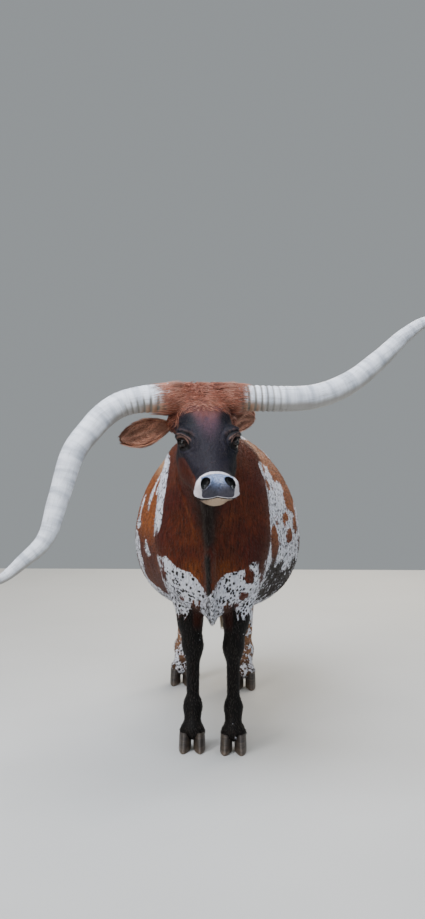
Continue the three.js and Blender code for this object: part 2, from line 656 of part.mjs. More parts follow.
/** An ellipsoid turned into the head's frame. */
function headEllipsoid(at, radii, detail = 12, lean = 0) {
  const ball = new THREE.SphereGeometry(1, detail, Math.round(detail * 0.7));
  ball.scale(...radii).rotateY(lean);
  const basis = new THREE.Matrix4().makeBasis(head.across, head.up, head.along);
  const centre = place(head, at);
  ball.applyMatrix4(basis).translate(centre.x, centre.y, centre.z);
  return solid(ball);
}

function eyeFrame(side) {
  const gaze = direct(head, [side * EYE_GAZE[0], EYE_GAZE[1], EYE_GAZE[2]]);
  const slit = direct(head, EYE_SLIT);
  const long = slit.clone().addScaledVector(gaze, -slit.dot(gaze)).normalize();
  const short = new THREE.Vector3().crossVectors(gaze, long);
  return { centre: place(head, [side * EYE.side, EYE.face, EYE.muzzle]), gaze, long, short };
}

function eyeBall(side, grow, detail) {
  const { centre } = eyeFrame(side);
  const ball = new THREE.SphereGeometry(EYE.radius + grow, detail, Math.round(detail * 0.75));
  return solid(ball.translate(centre.x, centre.y, centre.z));
}

/** The raised rims of the upper and lower lid, round the eye's opening. */
function lids(side) {
  const { centre, gaze, long, short } = eyeFrame(side);
  const { steps: count, sides } = LID;
  const rings = Array.from({ length: count }, (_, i) => {
    const t = (TURN * i) / count;
    const pinch = 1 - 0.25 * Math.cos(t) ** 2;
    const flat = long.clone().multiplyScalar(Math.cos(t) * LID.halfLength)
      .addScaledVector(short, Math.sin(t) * LID.halfHeight * pinch);
    const height = Math.sqrt(Math.max((EYE.radius + LID.lift) ** 2 - flat.lengthSq(), LID.thickness ** 2));
    const middle = centre.clone().add(flat).addScaledVector(gaze, height - LID.sunk);
    const out = flat.clone().normalize();
    return Array.from({ length: sides }, (_, k) => {
      const angle = (TURN * k) / sides;
      return middle.clone().addScaledVector(out, Math.cos(angle) * LID.spread)
        .addScaledVector(gaze, Math.sin(angle) * LID.thickness);
    });
  });
  const index = [];
  const at = (i, k) => (i % count) * sides + (k % sides);
  for (let i = 0; i < count; i++) {
    for (let k = 0; k < sides; k++) {
      index.push(at(i, k), at(i, k + 1), at(i + 1, k + 1), at(i, k), at(i + 1, k + 1), at(i + 1, k));
    }
  }
  const geometry = new THREE.BufferGeometry();
  const flatPoints = rings.flat().flatMap((p) => [p.x, p.y, p.z]);
  geometry.setAttribute('position', new THREE.Float32BufferAttribute(flatPoints, 3));
  geometry.setIndex(index);
  return solid(geometry);
}

/** The closed mouth: a groove from one corner, round the front of the lips, to the other. */
function mouthGroove() {
  const line = evenly(15, -1, 1).map((u) => {
    const bend = Math.cos((u * Math.PI) / 2) ** 0.55;
    const muzzle = THREE.MathUtils.lerp(MOUTH.cornerMuzzle, MOUTH.frontMuzzle, bend);
    const face = THREE.MathUtils.lerp(MOUTH.cornerFace, MOUTH.frontFace, bend);
    const centre = place(head, [0, face, MOUTH.middle]);
    const side = Math.sign(u) * MOUTH.spread * Math.abs(u) ** 0.5;
    const aim = place(head, [side, face, muzzle]).sub(centre).normalize();
    return centre.addScaledVector(aim, shoot(body, centre, aim, 0, 160));
  });
  return tube(line, () => MOUTH.width, evenly(25), 5);
}

/** The skull in front of the neck and between the horns, below the hair line (-1) or above it (1). */
function skullPart(level, hairSide) {
  let shape = keepBeyond(keepBeyond(headLoft(level), neckHeadPlane, 1), pollPlane, hairSide);
  for (const side of [1, -1]) shape = keepBeyond(shape, socketPlane(side), -1);
  return shape;
}

/** The head with lids, eye sockets, nostrils and mouth. */
function headSolid() {
  let shape = skullPart(0, -1);
  for (const side of [1, -1]) {
    shape = shape.add(lids(side)).subtract(eyeBall(side, GAP, 12));
    const { side: s, face, muzzle, length, height, depth, lean } = NOSTRIL;
    const at = [side * s, face, muzzle];
    shape = shape.subtract(headEllipsoid(at, [height, depth, length], 12, side * lean));
    const wing = [at[0] + side * NOSTRIL_WING.side, face + NOSTRIL_WING.face, muzzle + NOSTRIL_WING.muzzle];
    const radii = [height, depth, length].map((size) => size * NOSTRIL_WING.share);
    shape = shape.subtract(headEllipsoid(wing, radii, 10));
  }
  return largest(shape.subtract(mouthGroove()));
}

/** One flat, tapered lock of hair along a line of points; out is the way its flat side faces. */
function lockOfHair(line, width, thickness, out) {
  const curve = new THREE.CatmullRomCurve3(line, false, 'centripetal');
  const rings = evenly(4, 0, 0.9).map((t) => {
    const centre = curve.getPointAt(t);
    const tangent = curve.getTangentAt(t);
    const flatSide = out(centre).normalize();
    const across = new THREE.Vector3().crossVectors(flatSide, tangent).normalize();
    const taper = Math.pow(1 - t, 0.55) * (0.72 + 0.28 * Math.sin(Math.PI * Math.min(t * 2.2, 1)));
    const [w, h] = [Math.max(width * taper, 1.2), Math.max(thickness * Math.sqrt(1 - t), 0.8)];
    return [[1, 0], [0, 1], [-1, 0], [0, -0.6]].map(
      ([u, v]) => centre.clone().addScaledVector(across, u * w).addScaledVector(flatSide, v * h),
    );
  });
  return solid(ringMesh(rings, curve.getPointAt(0), curve.getPointAt(1)));
}

/** The crown of hair between the horns: a low cap with wavy locks that part to both sides. */
function pollSolid(neighbours) {
  const random = draws(11);
  let shape = skullPart(POLL_HAIR.base, 1);
  const skin = (side, angle, lift) => {
    const centre = place(head, [side, POLL_HAIR.axisFace, POLL_HAIR.axisMuzzle]);
    const way = direct(head, [0, Math.cos(angle), -Math.sin(angle)]);
    const overHorn = HORN.baseRadius * clamp((Math.abs(side) - 90) / 30, 0, 1);
    return centre.addScaledVector(way, Math.max(shoot(body, centre, way, 0, 120), overHorn) + lift);
  };
  const out = (p) => {
    const axis = place(head, [0, POLL_HAIR.axisFace, POLL_HAIR.axisMuzzle]);
    const away = p.clone().sub(axis);
    return away.addScaledVector(head.across, -away.dot(head.across));
  };
  for (let row = 0; row < POLL_HAIR.rows; row++) {
    const angle = radians(THREE.MathUtils.lerp(POLL_HAIR.from, POLL_HAIR.to, row / (POLL_HAIR.rows - 1)));
    for (let n = 0; n < POLL_HAIR.perRow; n++) {
      const side = n % 2 ? -1 : 1;
      const start = (n < 2 ? 6 : 62) + random(-6, 10);
      const length = POLL_HAIR.length * random(0.85, 1.12) * (n < 2 ? 1.05 : 1);
      const wave = random(0.05, 0.12);
      const phase = random(0, TURN);
      const lean = angle + random(-0.09, 0.09) + (n < 2 ? 0 : 0.09);
      const line = evenly(6).map((t) => skin(
        side * Math.min(start + length * t, POLL_HAIR.reach),
        lean + wave * Math.sin(phase + t * 5) - 0.12 * t,
        POLL_HAIR.loft * Math.sin(Math.PI * Math.min(0.12 + t * 0.75, 1)) * random(0.9, 1.1) - POLL_HAIR.sink,
      ));
      shape = shape.add(lockOfHair(line, POLL_HAIR.width, POLL_HAIR.thickness, out));
    }
  }
  for (let n = 0; n < FRINGE.locks; n++) {
    const across = (n - (FRINGE.locks - 1) / 2) * FRINGE.gap + random(-4, 4);
    const line = evenly(6).map((t) => {
      const centre = place(head, [across * (1 + 0.9 * t), FRINGE.face, FRINGE.from + FRINGE.length * t]);
      const lift = FRINGE.loft * Math.sin(Math.PI * (0.16 + 0.76 * t)) - FRINGE.sink;
      return centre.addScaledVector(head.up, shoot(body, centre, head.up, 0, 120) + lift);
    });
    shape = shape.add(lockOfHair(line, FRINGE.width, FRINGE.thickness, () => head.up.clone()));
  }
  for (const neighbour of neighbours) shape = shape.subtract(neighbour);
  return largest(shape);
}

/** Radius of a horn along its length, with the growth ridges and the flare of its root. */
function hornRadius(name, grow) {
  return (t) => {
    const plain = HORN.baseRadius * Math.pow(1 - Math.pow(t, HORN.taper), HORN.fullness);
    const fade = clamp(1 - t / HORN_RIDGES.reach, 0, 1);
    const ridge = -Math.cos((t / HORN_RIDGES.reach) * HORN_RIDGES.count * TURN) * HORN_RIDGES.height;
    const flare = HORN_FLARE[name] * Math.pow(clamp(1 - t / HORN_FLARE.reach, 0, 1), 1.5);
    return Math.max(plain, HORN.tipRadius) + ridge * Math.sqrt(fade) + flare + grow;
  };
}

function hornSolid(name, grow) {
  const ridged = evenly(2 * HORN_RIDGES.count, 0, HORN_RIDGES.reach * (1 - 0.5 / HORN_RIDGES.count));
  const stops = [...ridged, ...evenly(HORN.steps, HORN_RIDGES.reach, 1)];
  const shape = tube(HORN_LINES[name], hornRadius(name, grow), stops, HORN.sides);
  return grow > 0 ? shape : keepBeyond(shape, socketPlane(SIDES[name]), 1);
}

/** A cupped leaf: rolled at the root, open towards the tip, thin at the rim. */
function earSolid(name) {
  const { length, root, tip, hollow } = EAR_POSE[name];
  const base = place(head, root);
  const along = place(head, tip).sub(base).normalize();
  const facing = direct(head, hollow);
  facing.addScaledVector(along, -facing.dot(along)).normalize();
  const across = new THREE.Vector3().crossVectors(along, facing);
  const { rows, columns } = EAR;
  const point = (t, q, depth) => {
    const leaf = Math.pow(Math.sin(Math.PI * Math.pow(t, 0.86)), 0.62) * 0.5;
    const spread = EAR.width * Math.max(leaf, 0.2 * (1 - t) ** 2 + 0.03);
    const curl = THREE.MathUtils.lerp(EAR.rootCurl, EAR.tipCurl, Math.pow(Math.min(t * 1.5, 1), 0.6));
    const bend = spread / curl;
    const inner = bend - depth;
    const angle = curl * q;
    const x = inner * Math.sin(angle);
    const z = bend - inner * Math.cos(angle);
    return base.clone().addScaledVector(along, length * t)
      .addScaledVector(across, x).addScaledVector(facing, z - EAR.sag * Math.sin(Math.PI * t));
  };
  const rings = evenly(rows, 0, 0.985).map((t) => {
    const outer = evenly(columns, -1, 1).map((q) => point(t, q, 0));
    const inner = evenly(columns, 1, -1).map((q) => {
      const edge = 1 - 0.55 * q * q;
      return point(t, q * 0.97, EAR.wall * edge * (1 - 0.45 * t));
    });
    return [...outer, ...inner];
  });
  return solid(ringMesh(rings, middleOf(rings[0]), middleOf(rings[rows - 1]).addScaledVector(along, 2)));
}

/** One leg from high inside the trunk down to the coronet, clear of the trunk and the midline. */
function wholeLeg(leg, level, trunkGrown) {
  const fore = leg.startsWith('fore');
  const joints = fore
    ? [FORE.foot, FORE.fetlock, FORE.cannonTop, FORE.knee, FORE.forearm, FORE.elbow]
    : [HIND.foot, HIND.fetlock, HIND.cannonTop, HIND.hock, HIND.gaskin, HIND.thighAxis];
  const line = joints.map((j) => stand(leg, j));
  const axis = ['0', '1'].map((key) => track(line.map((p) => ({ at: p[2], 0: p[0], 1: p[1] })), key));
  const flesh = (x, y, z) => softMin(body(x, y, z), legFlesh[leg](x, y, z), FILLET.leg);
  const rings = LEG_LEVELS[fore ? 'fore' : 'hind'].map(
    (z) => ({ centre: vec([axis[0](z), axis[1](z), z]), a: X, b: Y, along: Z }),
  );
  const within = { field: legFlesh[leg], level: 24 };
  const whole = loft(flesh, rings, spreadAngles(12), { level, reach: 220, within });
  const side = leg.endsWith('left') ? 1 : -1;
  const midline = { point: vec([side * (LEG_CLEARANCE[fore ? 'fore' : 'hind'] - level), 0, 0]), normal: X };
  return keepBeyond(whole, midline, side).subtract(trunkGrown);
}

/** A leg cut into its named lengths. */
function legSolids(leg, whole) {
  const cuts = LEG_CUTS[leg.startsWith('fore') ? 'fore' : 'hind'];
  const level = (z) => ({ point: vec([0, 0, z]), normal: Z });
  return {
    upper: largest(keepBeyond(whole, level(cuts.joint), 1)),
    lower: largest(keepBeyond(keepBeyond(whole, level(cuts.joint), -1), level(cuts.fetlock), 1)),
    pastern: largest(keepBeyond(whole, level(cuts.fetlock), -1)),
  };
}

/** One claw of a cloven hoof, flat on the ground; inner is 1 or -1 for the side it faces. */
function clawSolid(leg, inner) {
  const foot = stand(leg, leg.startsWith('fore') ? FORE.foot : HIND.foot);
  const point = ({ z, toe, heel, half }, k) => {
    const angle = (TURN * k) / CLAW.sides;
    const [c, s] = [Math.cos(angle), Math.sin(angle)];
    const narrow = s < 0 ? 1 - 0.2 * s * s : 1;
    const flatInner = c * inner < 0 ? 0.88 : 1;
    const [x, y] = [c * half * narrow * flatInner, s * (s < 0 ? toe : heel)];
    const turned = x - y * CLAW.toeOut * inner;
    return vec([foot[0] + inner * CLAW.spread + turned, foot[1] - CLAW.ahead + y, z]);
  };
  const rings = CLAW_LEVELS.map((size) => Array.from({ length: CLAW.sides }, (_, k) => point(size, k)));
  return solid(ringMesh(rings, middleOf(rings[0]), middleOf(rings[rings.length - 1])));
}

/** The pair of small horns behind a fetlock. */
function dewclawSolid(leg, side, pastern) {
  const fetlock = stand(leg, leg.startsWith('fore') ? FORE.fetlock : HIND.fetlock);
  const at = ([x, y, z]) => vec([fetlock[0] + side * (DEWCLAW.spread + x), fetlock[1] + y, z]);
  const [root, tip] = [at(DEWCLAW.root), at(DEWCLAW.tip)];
  const radius = (t) => DEWCLAW.radius * (1 - DEWCLAW.taper * t ** 2);
  const shape = tube([root, root.clone().lerp(tip, 0.55), tip], radius, evenly(3), 5);
  return largest(shape.subtract(pastern));
}

/** The fold of loose skin from the throat to the brisket, cut clear of what it hangs from. */
function dewlapSolid(neighbours) {
  const curve = new THREE.CatmullRomCurve3(DEWLAP_LINE.map(vec), false, 'centripetal');
  const flesh = (x, y, z) => softMin(body(x, y, z), dewlapFold(x, y, z), FILLET.dewlap);
  const rings = evenly(12).map((t) => {
    const along = curve.getTangentAt(t);
    return { centre: curve.getPointAt(t), a: X, b: new THREE.Vector3().crossVectors(along, X), along };
  });
  let shape = loft(flesh, rings, spreadAngles(10), { reach: 92 });
  for (const neighbour of neighbours) shape = shape.subtract(neighbour);
  return largest(shape);
}

function udderSolid(neighbours) {
  const [x, y, z] = UDDER.at;
  const bag = new THREE.SphereGeometry(1, 12, 8);
  bag.scale(...UDDER.radii).translate(x, y, z);
  let shape = solid(bag);
  for (const [across, along] of TEATS) {
    const low = z - UDDER.radii[2] * 0.82;
    const line = [[x + across, y + along, low + 14], [x + across * 1.08, y + along, low - UDDER.teatLength]];
    shape = shape.add(tube(line, (t) => UDDER.teatRadius * (1 - 0.32 * t * t), evenly(3), 6));
  }
  for (const neighbour of neighbours) shape = shape.subtract(neighbour);
  return largest(shape);
}

function tailRadius(grow) {
  return (t) => THREE.MathUtils.lerp(TAIL.rootRadius, TAIL.endRadius, Math.pow(t, 0.42)) + grow;
}

/** The long hair at the end of the tail: a slim core and hanging locks. */
function switchSolid(tailGrown) {
  const random = draws(29);
  const end = vec(TAIL_LINE[TAIL_LINE.length - 1]);
  const at = (z) => vec([end.x, end.y, z]);
  const core = [at(SWITCH.top - 20), at((SWITCH.top + SWITCH.coreEnd) / 2), at(SWITCH.coreEnd)];
  const radius = (t) => SWITCH.coreRadius * (1 + 0.35 * Math.sin(Math.PI * t)) * (1 - 0.55 * t);
  let shape = tube(core, radius, evenly(7), 8);
  for (let n = 0; n < SWITCH.locks; n++) {
    const turn = n * 2.4 + random(-0.2, 0.2);
    const level = n / (SWITCH.locks - 1);
    const way = vec([Math.cos(turn), Math.sin(turn), 0]);
    const top = THREE.MathUtils.lerp(SWITCH.top - 34, SWITCH.coreEnd + 26, level);
    const low = THREE.MathUtils.lerp(top - 190, SWITCH.tip, Math.min(0.35 + level * 0.8, 1)) + random(-8, 14);
    const swell = random(20, 34);
    const line = evenly(5).map((t) => {
      const out = 6 + swell * Math.sin(Math.PI * Math.min(0.1 + t * 0.62, 1)) * (1 - 0.25 * t);
      return at(THREE.MathUtils.lerp(top, Math.max(low, SWITCH.tip), t)).addScaledVector(way, out);
    });
    shape = shape.add(lockOfHair(line, SWITCH.width, SWITCH.thickness, () => way.clone()));
  }
  return largest(shape.subtract(tailGrown));
}

// Assembly
const cow = new THREE.Group();
cow.position.set(-FLESH_CENTRE[0], -FLESH_CENTRE[1], -FLESH_CENTRE[2]);

function addPiece(name, shape, colour, roughness) {
  const material = new THREE.MeshStandardMaterial({ color: colour, roughness, metalness: 0 });
  const mesh = new THREE.Mesh(geometryOf(shape), material);
  mesh.name = name;
  cow.add(mesh);
}

const trunkGrown = trunkLoft(CLEAR);
const neckGrown = neckLoft(CLEAR);
const { point: hairPoint, normal: hairNormal } = pollPlane;
const hairPlane = { point: hairPoint.clone().addScaledVector(hairNormal, GAP), normal: hairNormal };
const headGrown = keepBeyond(headLoft(CLEAR), hairPlane, -1);
const hornsGrown = Object.keys(SIDES).map((name) => hornSolid(name, CLEAR));
const wholeLegs = Object.fromEntries(LEGS.map((leg) => [leg, wholeLeg(leg, 0, trunkGrown)]));
const legGrown = (leg) => wholeLeg(leg, 2 * CLEAR, trunkGrown);
const roundDewlap = [trunkGrown, neckGrown, headGrown, legGrown('fore_left'), legGrown('fore_right')];
const roundUdder = [trunkGrown, legGrown('hind_left'), legGrown('hind_right')];
const tailTube = (grow) => tube(TAIL_LINE, tailRadius(grow), evenly(TAIL.stops), TAIL.sides);

addPiece('torso', trunkSolid(0), COLOUR.coat, 0.75);
addPiece('neck', neckSolid(0), COLOUR.coat, 0.75);
addPiece('head', headSolid(), COLOUR.face, 0.6);
addPiece('poll', pollSolid([headGrown, neckSolid(CLEAR), ...hornsGrown]), COLOUR.poll, 0.85);
addPiece('dewlap', dewlapSolid(roundDewlap), COLOUR.coat, 0.75);
addPiece('udder', udderSolid(roundUdder), COLOUR.pink, 0.7);
addPiece('tail', largest(tailTube(0).subtract(trunkGrown)), COLOUR.coat, 0.8);
addPiece('tail_switch', switchSolid(tailTube(GAP)), COLOUR.white, 0.85);

for (const [name, side] of Object.entries(SIDES)) {
  addPiece(`horn_${name}`, hornSolid(name, 0), COLOUR.horn, 0.45);
  addPiece(`ear_${name}`, largest(earSolid(name).subtract(headGrown)), COLOUR.coat, 0.85);
  addPiece(`eye_${name}`, eyeBall(side, 0, 12), COLOUR.eye, 0.1);
}

for (const leg of LEGS) {
  const { upper, lower, pastern } = legSolids(leg, wholeLegs[leg]);
  const name = leg.replace('_', 'leg_');
  addPiece(`${name}_upper`, upper, leg.startsWith('fore') ? COLOUR.white : COLOUR.coat, 0.8);
  addPiece(`${name}_lower`, lower, COLOUR.dark, 0.8);
  addPiece(`${name}_pastern`, pastern, COLOUR.dark, 0.8);
  const outer = leg.endsWith('left') ? 1 : -1;
  for (const [half, inner] of [['outer', outer], ['inner', -outer]]) {
    addPiece(`${name}_claw_${half}`, clawSolid(leg, inner), COLOUR.hoof, 0.5);
    addPiece(`${name}_dewclaw_${half}`, dewclawSolid(leg, inner, pastern), COLOUR.hoof, 0.5);
  }
}

export default cow;
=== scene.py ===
"""A life-size longhorn cow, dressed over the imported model.

The flesh is one smooth field built from named sizes, the same ones as the solids'. One skin is
meshed from it, and the coat, hair, horns, eyes, ears and hooves stand on that skin.
Sizes are millimetres in the working axes of the solids: +Z up, the animal faces -Y and its left
side is at +X. to_scene() turns finished points into metres in the shared frame.
"""

import logging
import math
from collections.abc import Callable
from dataclasses import dataclass, field
from enum import Enum

import bpy
import numpy as np
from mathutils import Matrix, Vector


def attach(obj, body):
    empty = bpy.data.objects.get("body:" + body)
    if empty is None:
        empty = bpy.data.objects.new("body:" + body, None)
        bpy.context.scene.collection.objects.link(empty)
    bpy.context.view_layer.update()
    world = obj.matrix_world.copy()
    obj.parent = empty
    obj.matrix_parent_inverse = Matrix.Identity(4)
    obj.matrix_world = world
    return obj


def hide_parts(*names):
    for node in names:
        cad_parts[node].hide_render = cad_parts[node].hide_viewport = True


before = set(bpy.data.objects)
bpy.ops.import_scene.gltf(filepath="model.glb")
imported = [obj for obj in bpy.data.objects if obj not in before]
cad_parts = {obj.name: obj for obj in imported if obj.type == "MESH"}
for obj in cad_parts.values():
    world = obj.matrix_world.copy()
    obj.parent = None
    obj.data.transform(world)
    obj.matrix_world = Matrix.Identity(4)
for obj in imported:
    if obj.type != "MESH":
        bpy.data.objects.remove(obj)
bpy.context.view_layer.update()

Array = np.ndarray
Point = tuple[float, float, float]
Material = bpy.types.Material
Tree = bpy.types.NodeTree
Socket = bpy.types.NodeSocket
log = logging.getLogger("longhorn")

WORKING_CENTRE = np.array([58.7, 286.4, 0.0])  # the working point that lies over the frame's origin
MM = 0.001
IMAGE_SIZE = (425, 919)
TURN = 2.0 * math.pi
SIDES = {"left": 1, "right": -1}
FAR = 1e3  # mm, more than any fillet reaches
HEAD_REACH = 520  # mm round the head inside which its field counts


def to_scene(points: Array) -> Array:
    """Returns working millimetres as metres in the shared frame."""
    return (points - WORKING_CENTRE) * MM


def soft_min(a: Array, b: Array, width: float) -> Array:
    """Joins two distances: the lower one, less a parabola where they differ by under the width."""
    h = np.maximum(width - np.abs(a - b), 0.0) / width
    return np.minimum(a, b) - h * h * width * 0.25


def soft_max(a: Array, b: Array, width: float) -> Array:
    """Cuts one distance by another, with a fillet about as wide as the width."""
    return -soft_min(-a, -b, width)


def ramp(low: float, high: float, value: Array) -> Array:
    """A smooth step from 0 at low to 1 at high: 3t squared less 2t cubed. High may be below low."""
    t = np.clip((value - low) / (high - low), 0.0, 1.0)
    return t * t * (3.0 - 2.0 * t)


def bell(value: Array, middle: float, width: float) -> Array:
    """A bell curve: e to the minus square of the distance from the middle over the width."""
    return np.exp(-(((value - middle) / width) ** 2))


def unit(vectors: Array) -> Array:
    """Returns vectors along the last axis at length one."""
    return vectors / np.maximum(np.linalg.norm(vectors, axis=-1, keepdims=True), 1e-9)


class Track:
    """A smooth curve through values at stations: cubic, with the slope between neighbours."""

    def __init__(self, at: Array, value: Array) -> None:
        """Keeps the stations and works out a slope at each.

        Args:
            at: increasing places of the stations.
            value: the value at each station.
        """
        self.at = at
        self.value = value
        low = np.maximum(np.arange(len(at)) - 1, 0)
        high = np.minimum(np.arange(len(at)) + 1, len(at) - 1)
        self.slope = (value[high] - value[low]) / (at[high] - at[low])

    def __call__(self, t: Array) -> Array:
        """The curve's value, level past both ends.

        Args:
            t: the places.

        Returns:
            A value for each place.
        """
        t = np.clip(t, self.at[0], self.at[-1])
        i = np.clip(np.searchsorted(self.at, t), 1, len(self.at) - 1)
        step = self.at[i] - self.at[i - 1]
        u = (t - self.at[i - 1]) / step
        v = 1.0 - u
        ends = self.value[i - 1] * v * v * (1 + 2 * u) + self.value[i] * u * u * (3 - 2 * u)
        return ends + step * u * v * (self.slope[i - 1] * v - self.slope[i] * u)


@dataclass(frozen=True)
class Station:
    """One cross-section: half width, heights of the top, widest place and bottom, and two powers."""

    at: float
    half: float
    top: float
    wide: float
    bottom: float
    upper: float
    lower: float


class SectionBody:
    """A body whose sections are superellipses that change smoothly from station to station."""

    def __init__(self, stations: tuple[Station, ...], end_rounding: float) -> None:
        """Builds a smooth curve for each named size.

        Args:
            stations: the sections in order.
            end_rounding: width of the fillet at both flat ends.
        """
        at = np.array([s.at for s in stations])
        names = ("half", "top", "wide", "bottom", "upper", "lower")
        self.size = {n: Track(at, np.array([getattr(s, n) for s in stations])) for n in names}
        self.first, self.last = at[0], at[-1]
        self.end_rounding = end_rounding

    def __call__(self, across: Array, up: Array, along: Array) -> Array:
        """The distance along a ray from the axis: radius times one less the inverse of the
        superellipse's own measure, cut at the ends.

        Args:
            across, up, along: places in the body's own axes.

        Returns:
            The field, below zero inside.
        """
        t = np.clip(along, self.first, self.last)
        q = up - self.size["wide"](t)
        high = q > 0
        reach = np.where(high, self.size["top"](t) - self.size["wide"](t),
                         self.size["wide"](t) - self.size["bottom"](t))
        power = np.where(high, self.size["upper"](t), self.size["lower"](t))
        ratio = np.abs(across / self.size["half"](t)) ** power + np.abs(q / reach) ** power
        g = np.maximum(ratio ** (1.0 / power), 0.05)
        radial = np.maximum(np.hypot(across, q), 1.0) * (1.0 - 1.0 / g)
        return soft_max(radial, np.maximum(along - self.last, self.first - along), self.end_rounding)


@dataclass(frozen=True)
class Ball:
    """An ellipsoid of flesh."""

    centre: Point
    radii: Point

    def __call__(self, p: Array) -> Array:
        """Length k of the scaled point, times k less one, over the length of its gradient.

        Args:
            p: points as rows, in working millimetres.

        Returns:
            The field at each point, below zero inside.
        """
        q = (p - np.array(self.centre)) / np.array(self.radii)
        k = np.maximum(np.linalg.norm(q, axis=-1), 0.01)
        slope = np.maximum(np.linalg.norm(q / np.array(self.radii), axis=-1), 1e-5)
        return k * (k - 1.0) / slope


@dataclass(frozen=True)
class Limb:
    """A tapered rod with round ends; slim below one makes it narrower across X."""

    start: Point
    end: Point
    start_radius: float
    end_radius: float
    slim: float = 1.0

    def __call__(self, p: Array) -> Array:
        """Distance to the middle line less the radius there, with X stretched by the slimness.

        Args:
            p: points as rows, in working millimetres.

        Returns:
            The field at each point, below zero inside.
        """
        stretch = np.array([1.0 / self.slim, 1.0, 1.0])
        a = np.array(self.start) * stretch
        ab = np.array(self.end) * stretch - a
        q = p * stretch - a
        t = np.clip(q @ ab / (ab @ ab), 0.0, 1.0)
        gap = np.linalg.norm(q - t[..., None] * ab, axis=-1)
        radius = self.start_radius + (self.end_radius - self.start_radius) * t
        return (gap - radius) * min(self.slim, 1.0)


@dataclass(frozen=True)
class Axes:
    """A place to stand in: an origin, and unit vectors across, up and along."""

    origin: Array
    rows: Array

    def local(self, p: Array) -> Array:
        """Returns world points in these axes."""
        return (p - self.origin) @ self.rows.T

    def world(self, q: Array) -> Array:
        """Returns points of these axes in the world."""
        return self.origin + np.asarray(q, float) @ self.rows

    def turn(self, v: Array) -> Array:
        """Returns directions of these axes in the world."""
        return np.asarray(v, float) @ self.rows


def head_axes(yaw: float = 10.8, pitch: float = 43.5, roll: float = 0.8) -> Axes:
    """The head's axes: to its left, out of the forehead, and down the face.

    Args:
        yaw, pitch, roll: degrees of the nose to the left, of the face, and of the raised left side.

    Returns:
        The axes, with the origin between the horns.
    """
    yaw, pitch, roll = (math.radians(a) for a in (yaw, pitch, roll))
    forward = np.array([math.sin(yaw), -math.cos(yaw), 0.0])
    level = np.array([math.cos(yaw), math.sin(yaw), 0.0])
    muzzle = forward * math.sin(pitch) - np.array([0, 0, math.cos(pitch)])
    face = forward * math.cos(pitch) + np.array([0, 0, math.sin(pitch)])
    across = level * math.cos(roll) - muzzle * math.sin(roll)
    along = muzzle * math.cos(roll) + level * math.sin(roll)
    return Axes(np.array([-30.0, -420.0, 1420.0]), np.array([across, face, along]))


def neck_axes(base: Point = (0, 20, 960), skull: Point = (-33, -376, 1380)) -> Axes:
    """The neck's axes: across, towards the nape, and from the chest to the skull.

    Args:
        base, skull: the middles of its two ends.

    Returns:
        The axes, with the origin at the base.
    """
    along = unit(np.array(skull, float) - np.array(base, float))
    across = unit(np.array([1.0, 0, 0]) - along * along[0])
    up = -np.cross(across, along)
    return Axes(np.array(base, float), np.array([across, up, along]))


HEAD = head_axes()
NECK = neck_axes()


def near_head(p: Array) -> Array:
    """Returns which points lie near enough to the head for its field to count."""
    return np.linalg.norm(p - HEAD.world([0, -40, 200]), axis=1) < HEAD_REACH


@dataclass(frozen=True)
class EyeSocket:
    """Where an eye sits in the head's axes, and the way it looks."""

    side: float = 91.0
    face: float = 5.0
    muzzle: float = 197.0
    radius: float = 19.5
    gaze: Point = (0.68, 0.6, 0.42)
    slit: Point = (0.0, 0.6, 0.8)

    def axes(self, sign: int) -> Axes:
        """Axes of one eye: along the slit, towards the brow, and out along the gaze.

        Args:
            sign: 1 for the left eye, -1 for the right.

        Returns:
            The axes, with the origin in the eyeball's middle.
        """
        gaze = unit(np.array([self.gaze[0] * sign, self.gaze[1], self.gaze[2]]))
        slit = unit(np.array(self.slit))
        slit = unit(slit - gaze * (slit @ gaze))
        brow = np.cross(gaze, slit)
        brow = brow * math.copysign(1.0, brow[1])
        centre = HEAD.world([self.side * sign, self.face, self.muzzle])
        return Axes(centre, HEAD.turn(np.array([slit, brow, gaze])))


EYE = EyeSocket()


